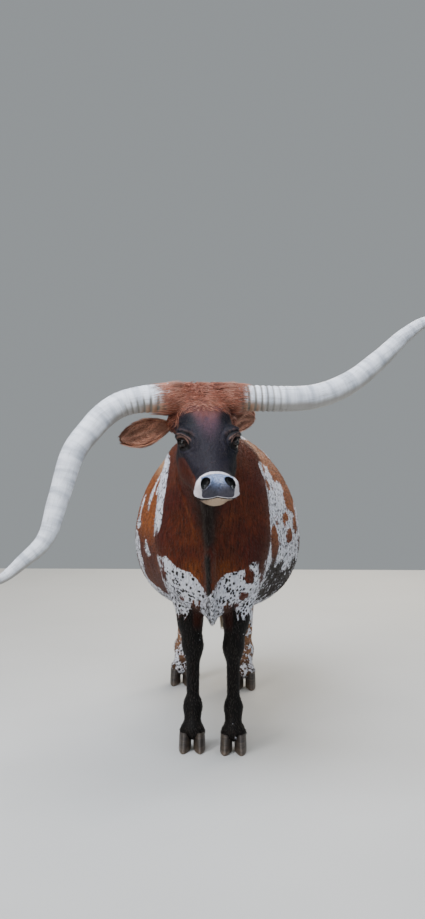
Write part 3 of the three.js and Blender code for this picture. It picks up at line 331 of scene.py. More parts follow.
class Flesh:
    """The living surface: named bodies of flesh, joined with soft fillets."""

    # place along, half width, top, widest place, bottom, power above and power below
    BARREL = tuple(Station(*row) for row in (
        (-270, 150, 985, 775, 610, 2.0, 2.0), (-180, 185, 1095, 785, 580, 2.0, 2.0),
        (-60, 205, 1225, 795, 560, 2.0, 2.1), (60, 218, 1292, 800, 558, 1.9, 2.2),
        (200, 245, 1293, 800, 545, 1.9, 2.2), (380, 298, 1264, 790, 502, 1.9, 2.2),
        (560, 347, 1248, 775, 462, 1.9, 2.3), (740, 371, 1243, 768, 447, 1.85, 2.3),
        (900, 350, 1240, 782, 482, 1.8, 2.2), (1030, 262, 1236, 850, 600, 1.8, 2.0),
        (1150, 196, 1222, 930, 715, 1.8, 2.0), (1285, 150, 1180, 980, 800, 1.9, 2.0),
    ))
    NECK_SECTIONS = tuple(Station(*row) for row in (
        (40, 176, 255, 0, -235, 1.9, 1.9), (200, 150, 240, 0, -228, 1.9, 1.9),
        (350, 118, 186, 0, -198, 2.0, 1.9), (480, 98, 132, 0, -168, 2.0, 2.0),
        (585, 90, 98, 0, -150, 2.0, 2.0),
    ))
    SKULL = tuple(Station(*row) for row in (
        (-58, 74, 16, -34, -88, 2.2, 2.0), (-28, 90, 32, -34, -108, 2.4, 2.0),
        (20, 99, 44, -36, -126, 2.6, 2.0), (80, 101, 50, -36, -138, 2.8, 2.0),
        (140, 101, 52, -38, -150, 3.0, 2.1), (198, 97, 50, -44, -156, 2.9, 2.2),
        (245, 90, 48, -50, -146, 2.4, 2.2), (298, 80, 46, -46, -122, 2.1, 2.2),
        (350, 69, 47, -26, -94, 2.2, 2.2), (388, 71, 50, -12, -76, 2.4, 2.3),
        (418, 76, 49, -4, -64, 2.4, 2.4), (450, 71, 37, -4, -50, 2.4, 2.4),
    ))
    TRUNK_FORMS = (  # each with the width of its fillet
        (Limb((104, 30, 1150), (132, -92, 890), 76, 84), 70), (Ball((138, -96, 812), (66, 124, 118)), 60),
        (Ball((186, 900, 1090), (42, 62, 40)), 60), (Ball((150, 1050, 900), (112, 182, 250)), 80),
        (Limb((92, 1208, 1050), (146, 1196, 690), 74, 58, 0.8), 60),
        (Ball((182, 925, 730), (78, 92, 124)), 70), (Ball((84, 1240, 1104), (40, 50, 46)), 50),
    )
    HEAD_FORMS = (
        (Ball((0, -4, -40), (84, 44, 40)), 40), (Limb((40, 8, -12), (134, 11, -10), 42, 44), 34),
        (Ball((91, 16, 172), (30, 32, 40)), 24), (Ball((74, -86, 215), (34, 60, 84)), 34),
        (Limb((86, -10, 218), (58, -4, 312), 20, 14), 26),
        (Limb((60, -122, 236), (34, -62, 385), 27, 20), 30),
        (Ball((47, 32, 415), (31, 27, 33)), 20), (Ball((42, 4, 432), (36, 25, 28)), 20),
        (Ball((0, -40, 414), (42, 24, 34)), 20), (Ball((92, -62, 42), (34, 36, 40)), 30),
    )
    EYE_HOLLOW = Ball((113, 25, 211), (24, 24, 31))
    FORE = {
        "elbow": (128, 48, 705), "forearm": (94, 10, 520), "knee": (83, -6, 418),
        "cannon": (83, 2, 375), "fetlock": (85, 6, 168), "foot": (86, -36, 82),
    }
    HIND = {
        "stifle": (176, 930, 700), "gaskin": (160, 1116, 560), "calf": (150, 1186, 684),
        "hock": (156, 1206, 482), "point": (155, 1246, 528), "cannon": (156, 1200, 430),
        "fetlock": (158, 1176, 170), "foot": (158, 1138, 84),
    }
    STEP = {
        "foreleg_left": (-3, -8), "foreleg_right": (2, 14),
        "hindleg_left": (-38, -46), "hindleg_right": (-26, 34),
    }
    DEWLAP = (
        (-22, -394, 1130, 34), (-16, -374, 1050, 46), (-8, -346, 940, 52), (-3, -320, 820, 56),
        (0, -280, 706, 58), (0, -205, 612, 52), (0, -120, 578, 44), (0, -20, 566, 26),
    )
    TAIL = (
        (0, 1180, 1160), (0, 1258, 1158), (0, 1312, 1108), (2, 1338, 1010), (5, 1350, 870),
        (9, 1352, 720), (12, 1346, 575),
    )
    TAIL_RADII = (36, 12)
    TAIL_POINTS = 15
    UDDER = Ball((0, 985, 560), (96, 128, 100))
    TEATS = ((46, 941), (-46, 941), (42, 1025), (-42, 1025))
    NOSTRIL = Ball((43.5, 50, 415), (14, 18, 23))
    NOSTRIL_WING = (9, -9, 8)

    def __init__(self) -> None:
        """Builds every body once."""
        self.barrel = SectionBody(self.BARREL, 190)
        self.neck_body = SectionBody(self.NECK_SECTIONS, 60)
        self.skull = SectionBody(self.SKULL, 46)
        self.leg_forms = {leg: self._leg(leg) for leg in self.STEP}
        tail = np.array(self.TAIL, float)
        spread = np.linspace(0, len(tail) - 1, self.TAIL_POINTS)
        line = np.stack([Track(np.arange(len(tail)) * 1.0, tail[:, i])(spread) for i in range(3)], 1)
        thick, thin = self.TAIL_RADII
        radius = thick + (thin - thick) * np.linspace(0, 1, self.TAIL_POINTS) ** 0.42
        self.tail_forms = [Limb(tuple(a), tuple(b), *radii)
                           for a, b, *radii in zip(line, line[1:], radius, radius[1:])]
        self.dewlap_forms = [Limb(a[:3], b[:3], a[3], b[3], 0.34)
                             for a, b in zip(self.DEWLAP, self.DEWLAP[1:])]

    def stand(self, leg: str, joint: Point) -> Point:
        """Moves a joint of the mirrored leg to where that leg stands; the step fades up the leg.

        Args:
            leg: the leg's name.
            joint: the joint as on the left side.

        Returns:
            Where the joint stands.
        """
        planted = min(max((760 - joint[2]) / 680, 0.0), 1.0)
        sign = 1 if leg.endswith("left") else -1
        dx, dy = self.STEP[leg]
        return (sign * joint[0] + dx * planted, joint[1] + dy * planted, joint[2])

    def _leg(self, leg: str) -> list[Callable[[Array], Array]]:
        """The flesh of one leg from the elbow or stifle down.

        Args:
            leg: the leg's name.

        Returns:
            The forms, the highest first.
        """
        fore = leg.startswith("fore")
        j = {k: self.stand(leg, v) for k, v in (self.FORE if fore else self.HIND).items()}
        foot = Ball((j["foot"][0], j["foot"][1] - 6, j["foot"][2] - 6), (52, 43, 30))
        if fore:
            return [
                Limb(j["elbow"], j["forearm"], 84, 55, 0.84), Limb(j["forearm"], j["knee"], 54, 39, 0.92),
                Ball(j["knee"], (41, 42, 54)), Limb(j["cannon"], j["fetlock"], 30, 27, 0.96),
                Ball(j["fetlock"], (34, 37, 36)), Limb(j["fetlock"], j["foot"], 31, 38), foot,
            ]
        below = (j["hock"][0], j["hock"][1] + 22, j["hock"][2] - 34)
        return [
            Limb(j["stifle"], j["gaskin"], 106, 66, 0.78), Limb(j["gaskin"], j["hock"], 64, 44, 0.8),
            Ball(j["hock"], (38, 50, 58)), Limb(j["point"], below, 23, 26, 0.9),
            Limb(j["calf"], j["point"], 56, 18, 0.66), Limb(j["cannon"], j["fetlock"], 36, 31, 0.86),
            Ball(j["fetlock"], (36, 40, 38)), Limb(j["fetlock"], j["foot"], 32, 38), foot,
        ]

    def trunk(self, p: Array) -> Array:
        """Barrel, shoulders, hips and thighs.

        Args:
            p: points as rows, in working millimetres.

        Returns:
            The field at each point, below zero inside.
        """
        d = self.barrel(p[:, 0], p[:, 2], p[:, 1])
        q = np.column_stack([np.abs(p[:, 0]), p[:, 1], p[:, 2]])
        for form, fillet in self.TRUNK_FORMS:
            d = soft_min(d, form(q), fillet)
        return d

    def neck(self, p: Array) -> Array:
        """The neck from the chest to the skull."""
        return self.neck_body(*NECK.local(p).T)

    def bare_head(self, p: Array) -> Array:
        """Skull, cheeks, jaw, nose and lips, without their folds.

        Args:
            p: points as rows, in working millimetres.

        Returns:
            The field at each point, below zero inside.
        """
        q = HEAD.local(p)
        q[:, 0] = np.abs(q[:, 0])
        d = self.skull(*q.T)
        for form, fillet in self.HEAD_FORMS:
            d = soft_min(d, form(q), fillet)
        return soft_max(d, -self.EYE_HOLLOW(q), 12)

    @staticmethod
    def mouth_line(muzzle: Array) -> Array:
        """Height of the closed mouth over the head's axis, along the muzzle."""
        return -40 + 49 * np.clip((muzzle - 346) / 112, 0, 1)

    def head_detail(self, p: Array) -> Array:
        """Depth cut on the head: mouth, lips, the face's hollows and veins, and the eyes' folds.

        Args:
            p: points as rows, in working millimetres.

        Returns:
            Millimetres to add to the field, for each point.
        """
        q = HEAD.local(p)
        s, face, muzzle = np.abs(q[:, 0]), q[:, 1], q[:, 2]
        line = self.mouth_line(muzzle)
        jaw = ramp(334, 362, muzzle)
        cut = 5.0 * bell(face, line, 2.8) * ramp(340, 354, muzzle)
        cut += 3.2 * ramp(0, -10, face - line) * jaw * ramp(-66, -36, face)
        cut -= 1.6 * bell(face, line + 8, 6) * jaw
        cut += 1.3 * bell(face, line - 22, 7) * ramp(372, 402, muzzle)
        cut += 1.8 * bell(s, 0, 3.4) * ramp(420, 438, muzzle) * ramp(-2, 20, face)
        cut += 2.6 * bell(s, 0, 20) * bell(muzzle, 96, 26) * ramp(0, 30, face)
        cut -= 2.0 * bell(s, 60, 9) * bell(face, 40, 22) * ramp(210, 250, muzzle) * ramp(400, 340, muzzle)
        cut += 3.4 * bell(s, 80, 15) * bell(muzzle, 104, 30) * ramp(0, 26, face)
        for k, depth in enumerate((1.5, 1.2, 0.9)):
            crease = bell(muzzle, 326 - 13 * k + 0.22 * (face + 30), 4.0)
            cut += depth * crease * bell(face, -28, 24) * ramp(40, 56, s)
        for sign in (1, -1):
            cut += self.eye_folds(p, sign)
        return cut

    def eye_folds(self, p: Array, sign: int) -> Array:
        """The thick roll over one eye, the crease above it, the brow, finer folds, and the tear line.

        Args:
            p: points as rows, in working millimetres.
            sign: 1 for the left eye, -1 for the right.

        Returns:
            Millimetres to add to the field, for each point.
        """
        e = EYE.axes(sign).local(p)
        near = bell(e[:, 2], 8, 36)
        turn = np.arctan2(e[:, 1], e[:, 0])
        waver = 0.07 * np.sin(2.6 * turn + 0.8) + 0.02 * np.sin(9 * turn)
        oval = np.hypot(e[:, 0] / 30, e[:, 1] / 21) + waver
        over, under = ramp(-4, 8, e[:, 1]), ramp(2, -8, e[:, 1])
        back = ramp(14, -18, e[:, 0])
        cut = over * (4.2 * bell(oval, 1.86, 0.13) * (0.45 + 0.55 * back) - 2.6 * bell(oval, 1.45, 0.20))
        cut += over * (1.0 * bell(oval, 2.72, 0.12) - 2.2 * bell(oval, 2.35, 0.24))
        cut += under * (1.5 * bell(oval, 1.34, 0.12) - 1.3 * bell(oval, 1.60, 0.16))
        cut += under * 0.8 * bell(oval, 1.95, 0.12)
        tear = bell(e[:, 1] + 0.35 * (e[:, 0] - 22), -4, 4.5) * ramp(20, 28, e[:, 0])
        return near * (cut + 2.2 * tear * ramp(58, 36, e[:, 0]))

    def nostrils(self, p: Array) -> Array:
        """The two comma-shaped openings, as a field of their own.

        Args:
            p: points as rows, in working millimetres.

        Returns:
            The field at each point, below zero inside.
        """
        q = HEAD.local(p)
        s = np.abs(q[:, 0])
        side, face, muzzle = self.NOSTRIL.centre
        lean = 0.5
        ds, dm = s - side, q[:, 2] - muzzle
        turned = np.column_stack([ds * math.cos(lean) - dm * math.sin(lean), q[:, 1] - face,
                                  ds * math.sin(lean) + dm * math.cos(lean)])
        main = Ball((0, 0, 0), self.NOSTRIL.radii)(turned)
        radii = tuple(0.75 * r for r in self.NOSTRIL.radii)
        tail = Ball(self.NOSTRIL_WING, radii)(np.column_stack([ds, q[:, 1] - face, dm]))
        return soft_min(main, tail, 4)

    def head(self, p: Array) -> Array:
        """The head with its folds, nostrils and the sockets that the eyeballs fill.

        Args:
            p: points as rows, in working millimetres.

        Returns:
            The field at each point, below zero inside.
        """
        d = self.bare_head(p) + self.head_detail(p)
        hole = self.nostrils(p)
        d = soft_max(d - 2.2 * bell(hole, 5.0, 4.5), -hole, 4)
        for sign in (1, -1):
            e = EYE.axes(sign).local(p)
            d = soft_max(d, EYE.radius + 0.6 - np.linalg.norm(e, axis=1), 2.0)
        return d

    def neck_folds(self, p: Array) -> Array:
        """Skin folds of the neck: the jugular groove and the creases behind the turned jaw.

        Args:
            p: points as rows, in working millimetres.

        Returns:
            Millimetres to add to the field, for each point.
        """
        q = NECK.local(p)
        front = ramp(60, -60, p[:, 1])
        groove = np.abs(p[:, 0] + 12) - (52 + 0.20 * np.clip(p[:, 2] - 860, -120, 320))
        cut = 5.0 * bell(groove, 0, 16) * front * ramp(740, 840, p[:, 2]) * ramp(1220, 1120, p[:, 2])
        for start, lean, height in ((-96, 0.30, 3.4), (-52, 0.10, 2.0), (74, -0.16, 2.4), (126, -0.10, 2.0)):
            away = p[:, 0] - start - lean * (1005 - p[:, 2]) - 5 * np.sin(0.021 * p[:, 2])
            cut -= height * bell(away, 0, 7) * front * ramp(800, 870, p[:, 2]) * ramp(1160, 1060, p[:, 2])
        flank = ramp(20, 70, np.abs(q[:, 0]))
        for k in range(5):
            bow = 332 + 46 * k + 0.34 * q[:, 1] + 14 * np.sin(0.02 * q[:, 1] + 1.7 * k)
            cut += (2.6 - 0.25 * k) * bell(q[:, 2], bow, 10) * flank * ramp(150, 40, q[:, 1])
        return cut

    def trunk_folds(self, p: Array) -> Array:
        """Ribs, the hollow of the flank and the creases behind the elbow and before the thigh.

        Args:
            p: points as rows, in working millimetres.

        Returns:
            Millimetres to add to the field, for each point.
        """
        s, y, z = np.abs(p[:, 0]), p[:, 1], p[:, 2]
        mid = ramp(500, 600, z) * ramp(1160, 1040, z)
        cut = np.zeros(len(p))
        for k in range(7):
            rib = 300 + 76 * k - 0.24 * (z - 800)
            cut += (2.2 - 0.2 * k) * bell(y, rib, 17) * mid
        cut += 15 * bell(y, 868, 60) * bell(z, 1085, 70) * ramp(120, 200, s)
        cut += (9 * bell(y + 0.5 * (z - 700), 152, 18) * ramp(560, 620, z) * ramp(900, 760, z)
                * ramp(100, 150, s))
        cut += (8 * bell(y + 0.35 * (z - 720), 838, 22) * ramp(600, 680, z) * ramp(960, 820, z)
                * ramp(150, 220, s))
        cut += 7 * bell(s, 0, 9) * ramp(1170, 1215, z) * bell(y, 620, 420)
        cut -= (4 * bell(y + 0.2 * (z - 1100), 20, 40) * ramp(1000, 1080, z) * ramp(1290, 1200, z)
                * ramp(40, 90, s))
        return cut

    def legs(self, p: Array) -> Array:
        """The four legs, read only where they are near.

        Args:
            p: points as rows, in working millimetres.

        Returns:
            The field at each point, below zero inside.
        """
        d = np.full(len(p), FAR)
        low = p[:, 2] < 900
        q = p[low]
        for leg, forms in self.leg_forms.items():
            side = 1 if leg.endswith("left") else -1
            near = (q[:, 0] * side > -90) & ((q[:, 1] < 420) == leg.startswith("fore"))
            r = q[near]
            e = forms[0](r)
            for form in forms[1:]:
                e = soft_min(e, form(r), 26)
            index = np.flatnonzero(low)[near]
            d[index] = np.minimum(d[index], e)
        return d

    def value(self, p: Array) -> Array:
        """The whole living surface.

        Args:
            p: points as rows, in working millimetres.

        Returns:
            About the distance to the skin, below zero inside.
        """
        trunk = self.trunk(p) + self.trunk_folds(p)
        neck = self.neck(p)
        front = p[:, 1] < 200
        neck[front] += self.neck_folds(p[front])
        d = soft_min(trunk, neck, 130)
        near = near_head(p)
        head = np.full(len(p), FAR)
        head[near] = self.head(p[near])
        d = soft_min(d, head, 46)
        d = soft_min(d, self.legs(p), 50)
        fold = (np.abs(p[:, 0]) < 200) & (p[:, 1] < 120)
        d[fold] = soft_min(d[fold], self._joined(self.dewlap_forms, p[fold], 14), 44)
        bag = (np.abs(p[:, 0]) < 240) & (p[:, 1] > 780) & (p[:, 2] < 740)
        d[bag] = soft_min(d[bag], self.udder(p[bag]), 34)
        rear = (np.abs(p[:, 0]) < 190) & (p[:, 1] > 1060)
        d[rear] = soft_min(d[rear], self._joined(self.tail_forms, p[rear], 6), 26)
        return d

    def udder(self, p: Array) -> Array:
        """The bag with its middle groove, and four teats.

        Args:
            p: points as rows, in working millimetres.

        Returns:
            The field at each point, below zero inside.
        """
        d = self.UDDER(p) + 5 * bell(p[:, 0], 0, 9)
        for x, y in self.TEATS:
            d = soft_min(d, Limb((x, y, 486), (x * 1.08, y, 436), 13, 9)(p), 12)
        return d

    @staticmethod
    def _joined(forms: list[Limb], p: Array, fillet: float) -> Array:
        """Joins a chain of limbs with one fillet.

        Args:
            forms: the limbs in order.
            p: points as rows, in working millimetres.
            fillet: the width of the fillet.

        Returns:
            The field at each point, below zero inside.
        """
        d = forms[0](p)
        for form in forms[1:]:
            d = soft_min(d, form(p), fillet)
        return d

    @staticmethod
    def coat_depth(p: Array) -> Array:
        """Millimetres that the bare skin lies under the coat: least on the face and feet.

        Args:
            p: points as rows, in working millimetres.

        Returns:
            A depth for each point.
        """
        face = ramp(330, 240, np.linalg.norm(p - HEAD.world([0, -40, 250]), axis=1))
        feet = ramp(620, 480, p[:, 2])
        return 3.6 - 2.2 * np.maximum(face, feet)

    def skin(self, p: Array) -> Array:
        """The bare skin, inside the living surface by the depth of the coat."""
        return self.value(p) + self.coat_depth(p)

    def slope(self, p: Array, step: float = 0.8) -> Array:
        """Central differences of the skin's field, as rows.

        Args:
            p: points as rows, in working millimetres.
            step: half the distance between them.

        Returns:
            The slope along each axis, for each point.
        """
        parts = []
        for axis in np.eye(3) * step:
            parts.append((self.skin(p + axis) - self.skin(p - axis)) / (2 * step))
        return np.stack(parts, axis=1)


FLESH = Flesh()
CORNERS = np.array(list(np.ndindex(2, 2, 2)))  # of a cell, in steps along each axis


@dataclass
class SkinMesher:
    """Meshes a field on a lattice that is finest round the head.

    A point at distance rho from the middle of the lattice stands for a world point at distance
    rho squared over the span, so that cells grow with the root of the distance. One vertex is put
    in each cell that the surface crosses, at the mean of the crossings, and a face round each
    crossed edge.
    """

    cell: float = 11.7
    coarse: int = 4
    span: float = 2000.0
    focus: Array = field(default_factory=lambda: HEAD.world([0, -20, 250]))
    box: tuple[Point, Point] = ((-430, -830, 42), (430, 1420, 1520))

    def to_world(self, u: Array) -> Array:
        """Lattice places to world places."""
        return self.focus + u * (np.linalg.norm(u, axis=-1, keepdims=True) / self.span)

    def to_lattice(self, p: Array) -> Array:
        """World places to lattice places.

        Args:
            p: places in working millimetres.

        Returns:
            The same places on the lattice.
        """
        d = p - self.focus
        r = np.maximum(np.linalg.norm(d, axis=-1, keepdims=True), 1e-6)
        return d * np.sqrt(self.span / r)

    def local_cell(self, p: Array) -> Array:
        """Size of a cell across the line from the lattice's middle, at each place."""
        return self.cell * np.sqrt(np.linalg.norm(p - self.focus, axis=-1) / self.span)

    def mesh(self, flesh: Flesh) -> tuple[Array, Array]:
        """Runs the lattice from coarse to fine.

        Args:
            flesh: the field to mesh.

        Returns:
            Points as rows in working millimetres, and quads of point numbers.
        """
        ticks = [np.linspace(lo, hi, 12) for lo, hi in zip(*self.box)]
        shell = np.stack(np.meshgrid(*ticks, indexing="ij"), -1).reshape(-1, 3)
        u = self.to_lattice(shell)
        block = self.cell * self.coarse
        low = np.floor(u.min(0) / block) * block
        count = np.ceil((u.max(0) - low) / block).astype(int)
        nodes = np.stack(np.meshgrid(*[np.arange(n + 1) for n in count], indexing="ij"), -1)
        world = self.to_world(low + nodes.reshape(-1, 3) * block)
        rough = np.abs(flesh.value(world)) / (1.5 * self.coarse * self.local_cell(world) + 16)
        outside = ((world < np.array(self.box[0])) | (world > np.array(self.box[1]))).any(1)
        rough = np.where(outside, np.inf, rough).reshape(count + 1)
        least = np.full(count, np.inf)
        for corner in CORNERS:
            least = np.minimum(least, self._at_corner(rough, corner, count))
        fine = least < 1
        for axis in range(3):
            fine = np.repeat(fine, self.coarse, axis)
        wanted = np.zeros(np.array(fine.shape) + 1, bool)
        for corner in CORNERS:
            view = self._at_corner(wanted, corner, fine.shape)
            view |= fine
        values = np.full(wanted.shape, np.nan, np.float32)
        places = np.argwhere(wanted)
        for part in np.array_split(places, max(len(places) // 200000, 1)):
            values[tuple(part.T)] = flesh.skin(self.to_world(low + part * self.cell))
        return self._faces(flesh, values, fine, low)

    @staticmethod
    def _at_corner(grid: Array, corner: Array, shape: Array | tuple[int, ...]) -> Array:
        """Returns the nodes that lie at one corner of every cell, as a view of the grid."""
        return grid[tuple(slice(c, c + n) for c, n in zip(corner, shape))]

    def _faces(self, flesh: Flesh, values: Array, fine: Array, low: Array) -> tuple[Array, Array]:
        """Puts vertices in crossed cells and quads round crossed edges, then settles the vertices.

        Args:
            flesh: the field, for the settling.
            values: the field at the lattice's nodes.
            fine: the cells that have values at all their corners.
            low: lattice place of the first node.

        Returns:
            Points in working millimetres, and quads.
        """
        inside = values < 0
        count = np.zeros(fine.shape, np.int8)
        for corner in CORNERS:
            count += self._at_corner(inside, corner, fine.shape)
        cells = np.argwhere(fine & (count > 0) & (count < len(CORNERS)))
        number = np.full(fine.shape, -1, np.int64)
        number[tuple(cells.T)] = np.arange(len(cells))
        quads = [self._quads(inside, number, axis) for axis in range(3)]
        points = self._settled(flesh, self._crossings(values, cells, low))
        return points, np.concatenate(quads)

    def _crossings(self, values: Array, cells: Array, low: Array) -> Array:
        """The mean of the places where the surface crosses a cell's edges.

        Args:
            values: the field at the lattice's nodes.
            cells: the crossed cells, as rows.
            low: lattice place of the first node.

        Returns:
            A place for each cell, in working millimetres.
        """
        at = cells[:, None, :] + CORNERS[None]
        f = values[tuple(np.moveaxis(at, -1, 0))].astype(float)
        w = self.to_world(low + at * self.cell)
        total = np.zeros((len(cells), 3))
        crossed = np.zeros(len(cells))
        for i, j in [(i, i | bit) for bit in (1, 2, 4) for i in range(8) if not i & bit]:
            hit = (f[:, i] < 0) != (f[:, j] < 0)
            t = np.where(hit, f[:, i] / np.where(hit, f[:, i] - f[:, j], 1), 0)
            total += np.where(hit[:, None], w[:, i] + t[:, None] * (w[:, j] - w[:, i]), 0)
            crossed += hit
        return total / crossed[:, None]

    @staticmethod
    def _quads(inside: Array, number: Array, axis: int) -> Array:
        """A quad through the four cells round each edge along one axis that the surface crosses.

        Args:
            inside: which nodes lie in the flesh.
            number: each cell's point, or -1.
            axis: the edges' axis.

        Returns:
            Quads of point numbers.
        """
        b, c = (axis + 1) % 3, (axis + 2) % 3
        length = inside.shape[axis]
        after, before = (np.take(inside, range(k, length - 1 + k), axis) for k in (1, 0))
        edges = np.argwhere(after != before)
        keep = (edges[:, [b, c]] > 0).all(1)
        keep &= (edges[:, b] < number.shape[b]) & (edges[:, c] < number.shape[c])
        edges = edges[keep]
        around = []
        for db, dc in ((0, 0), (-1, 0), (-1, -1), (0, -1)):
            cell = edges.copy()
            cell[:, b] += db
            cell[:, c] += dc
            around.append(number[tuple(cell.T)])
        quad = np.stack(around, 1)
        flip = ~before[tuple(edges.T)]
        quad[flip] = quad[flip][:, ::-1]
        return quad[(quad >= 0).all(1)]

    def _settled(self, flesh: Flesh, points: Array) -> Array:
        """Moves points onto the skin along its slope, twice, by half a cell at most each time.

        Args:
            flesh: the field.
            points: the points to move.

        Returns:
            The moved points.
        """
        for _ in range(2):
            slope = flesh.slope(points)
            size = np.maximum((slope ** 2).sum(1), 0.3)
            move = -(flesh.skin(points) / size)[:, None] * slope
            length = np.linalg.norm(move, axis=1)
            share = np.minimum(1, 0.5 * self.local_cell(points) / np.maximum(length, 1e-6))
            points = points + move * share[:, None]
        return points


@dataclass(frozen=True)
class Patch:
    """A patch of colour on one flank: where it is and how far it reaches; white above zero."""

    side: int
    y: float
    z: float
    along: float
    high: float
    amount: float

    def __call__(self, p: Array) -> Array:
        """The amount inside a wavering ellipse of Y and Z, fading out round its edge.

        Args:
            p: points as rows, in working millimetres.

        Returns:
            What the patch adds to the white, for each point.
        """
        y, z = p[:, 1], p[:, 2]
        far = np.hypot((y - self.y) / self.along, (z - self.z) / self.high)
        far += 0.13 * np.sin(y / 31 + 2 * np.sin(z / 47)) + 0.11 * np.sin(z / 23 - y / 41 + self.y)
        return self.amount * ramp(1.28, 0.74, far) * ramp(60, 110, self.side * p[:, 0])


class Markings:
    """Where the coat changes colour, as smooth values on the skin that the finish cuts or mixes.

    White lies where its value is above about zero, and dark, warm and cream move the brown. Dark also
    holds painted shade: the head's shadow below the chin, the dewlap's crease and the neck's shaded
    left side; warm holds painted highlights along two neck folds. Speck and roan fleck the white and
    its edges, dash is the broken dark line at the brisket's tip, and no hair grows on bare, nose and
    ring. The other marks are the head's; of these, hollow and hole are painted shade, ring is partly a
    painted crease shadow, and wet fades the nose pad's painted sky reflection. The finish adds the
    ragged edges, so that skin and coat carry the same pattern.
    """

    BRISKET_EDGE = ((-178, 815), (-142, 777), (-105, 757), (-82, 757), (-43, 711), (-24, 684), (-6, 676),
                    (13, 711), (53, 750), (134, 770), (184, 817))
    # side, middle along and up, half length, half height, and the white or brown that it adds
    PATCHES = tuple(Patch(*row) for row in (
        (-1, 640, 660, 330, 150, 1.35), (-1, 330, 650, 190, 80, -1.5),
        (-1, 470, 760, 46, 40, -1.4), (-1, 660, 650, 70, 56, -1.7),
        (-1, 730, 800, 52, 36, -1.6), (-1, 590, 930, 34, 60, 1.1),
        (-1, 425, 990, 26, 110, 1.2), (-1, 345, 1050, 15, 60, 1.1),
        (-1, 590, 850, 60, 26, 1.2), (-1, 1010, 1040, 90, 80, 1.2),
        (-1, 1160, 780, 80, 140, 1.2), (-1, 860, 560, 140, 90, 1.1),
        (-1, 800, 960, 70, 60, 0.9),
        (1, 70, 1010, 190, 190, 1.35), (1, 190, 860, 150, 130, 1.2),
        (1, 330, 985, 170, 120, 1.25), (1, 520, 790, 250, 105, 1.3),
        (1, 236, 812, 62, 66, -2.0), (1, 470, 806, 44, 30, -1.8),
        (1, 585, 838, 40, 32, -1.8), (1, 292, 902, 22, 34, -1.8),
        (1, 277, 1050, 30, 26, -1.3), (1, 118, 960, 20, 22, -1.5),
        (1, 40, 1095, 20, 18, -1.5), (1, 214, 946, 18, 26, -1.7),
        (1, 400, 880, 20, 28, -1.7), (1, 20, 1000, 14, 14, -1.5),
        (1, 690, 742, 50, 34, -1.8), (1, 700, 868, 60, 60, 1.3),
        (1, 820, 850, 40, 36, -1.7), (1, 960, 1010, 120, 150, 1.2),
        (1, 1150, 720, 80, 130, 1.2), (1, 880, 640, 120, 80, 1.1),
    ))
    # brown spots in the white of the front: middle across, height, half width and half height
    SPOTS = ((146, 735, 20, 34), (124, 650, 18, 17), (96, 612, 10, 14), (-120, 640, 9, 12))

    def edge(self, x: Array) -> Array:
        """Height of the white brisket's upper edge at each place across."""
        at, height = np.array(self.BRISKET_EDGE, float).T
        return np.interp(x, at, height)

    def values(self, p: Array) -> dict[str, Array]:
        """Works out every mark.

        Args:
            p: points on the skin, in working millimetres.

        Returns:
            A value for each point under each name.
        """
        q = HEAD.local(p)
        near = near_head(p)
        on_head = np.zeros(len(p))
        on_head[near] = ramp(34, 8, FLESH.bare_head(p[near])) * ramp(-190, -130, q[near, 1])
        marks = self.coat(p, 1 - on_head) | self.face(p, q, on_head)
        marks["white"] = np.where(on_head > 0.5, -1.0, marks["white"])
        cheek = on_head * ramp(-8, -46, q[:, 1])
        marks["dark"] = np.clip(np.maximum(marks["dark"], 0.44 * cheek), 0, 1)
        marks["down"] = np.clip(ramp(640, 540, p[:, 2]) + on_head + ramp(60, -80, p[:, 1]), 0, 1)
        return marks

    def white(self, p: Array, low: Array, body: Array) -> Array:
        """The white of brisket, flanks, belly and rump.

        Args:
            p: points on the skin.
            low: height where the forelegs turn black.
            body: one off the head.

        Returns:
            A value that is above zero where the coat is white.
        """
        x, y, z = p.T
        reach = np.abs(x)
        brisket = ramp(16, -16, z - self.edge(x)) * ramp(low - 14, low + 14, z) * ramp(200, 130, y)
        front_side = ramp(-14, 24, reach - 172) * ramp(40, -20, y)
        white = -0.85 + 1.75 * brisket * (1 - 0.6 * front_side)
        for across, height, wide, high in self.SPOTS:
            far = np.hypot((x - across) / wide, (z - height) / high) + 0.12 * np.sin(z / 6 + x / 9)
            white -= 2.2 * ramp(1.25, 0.75, far) * ramp(100, 40, y)
        flank = np.clip(sum(patch(p) for patch in self.PATCHES), -1.3, 1.8)
        front = y + 14 * np.sin(z / 29) + 9 * np.sin(z / 12 + 1)
        white += flank * ramp(-70, 10, front) * body * ramp(420, 520, z)
        ragged = 16 * np.sin(y / 19) + 13 * np.sin(y / 8 + 1)
        limit = np.interp(z, (900, 1003, 1071, 1164), (202, 194, 182, 170))
        back = 60 + (1150 - z) * 0.72 + 16 * np.sin(z / 27) + 11 * np.sin(z / 11 + 2)
        band = ramp(-7, 8, reach - limit) * ramp(back + 22, back - 22, y) * ramp(-1, -40, x)
        white += 2.1 * band * ramp(868, 930, z + ragged) * ramp(1215, 1180, z) * body
        hind = ramp(980, 1060, y)
        white += ramp(560, 470, z) * ramp(180, 240, y) * ramp(980, 880, y)
        white += hind * (0.85 * ramp(520, 420, z) + 0.7 * bell(z, 560, 60))
        ridge = z + 12 * np.sin(y / 57) + 9 * np.sin(y / 21 + x / 34) + 6 * np.sin(x / 13)
        white += 1.5 * ramp(1188, 1222, ridge) * ramp(330, 430, y) * ramp(1240, 1180, y)
        return white

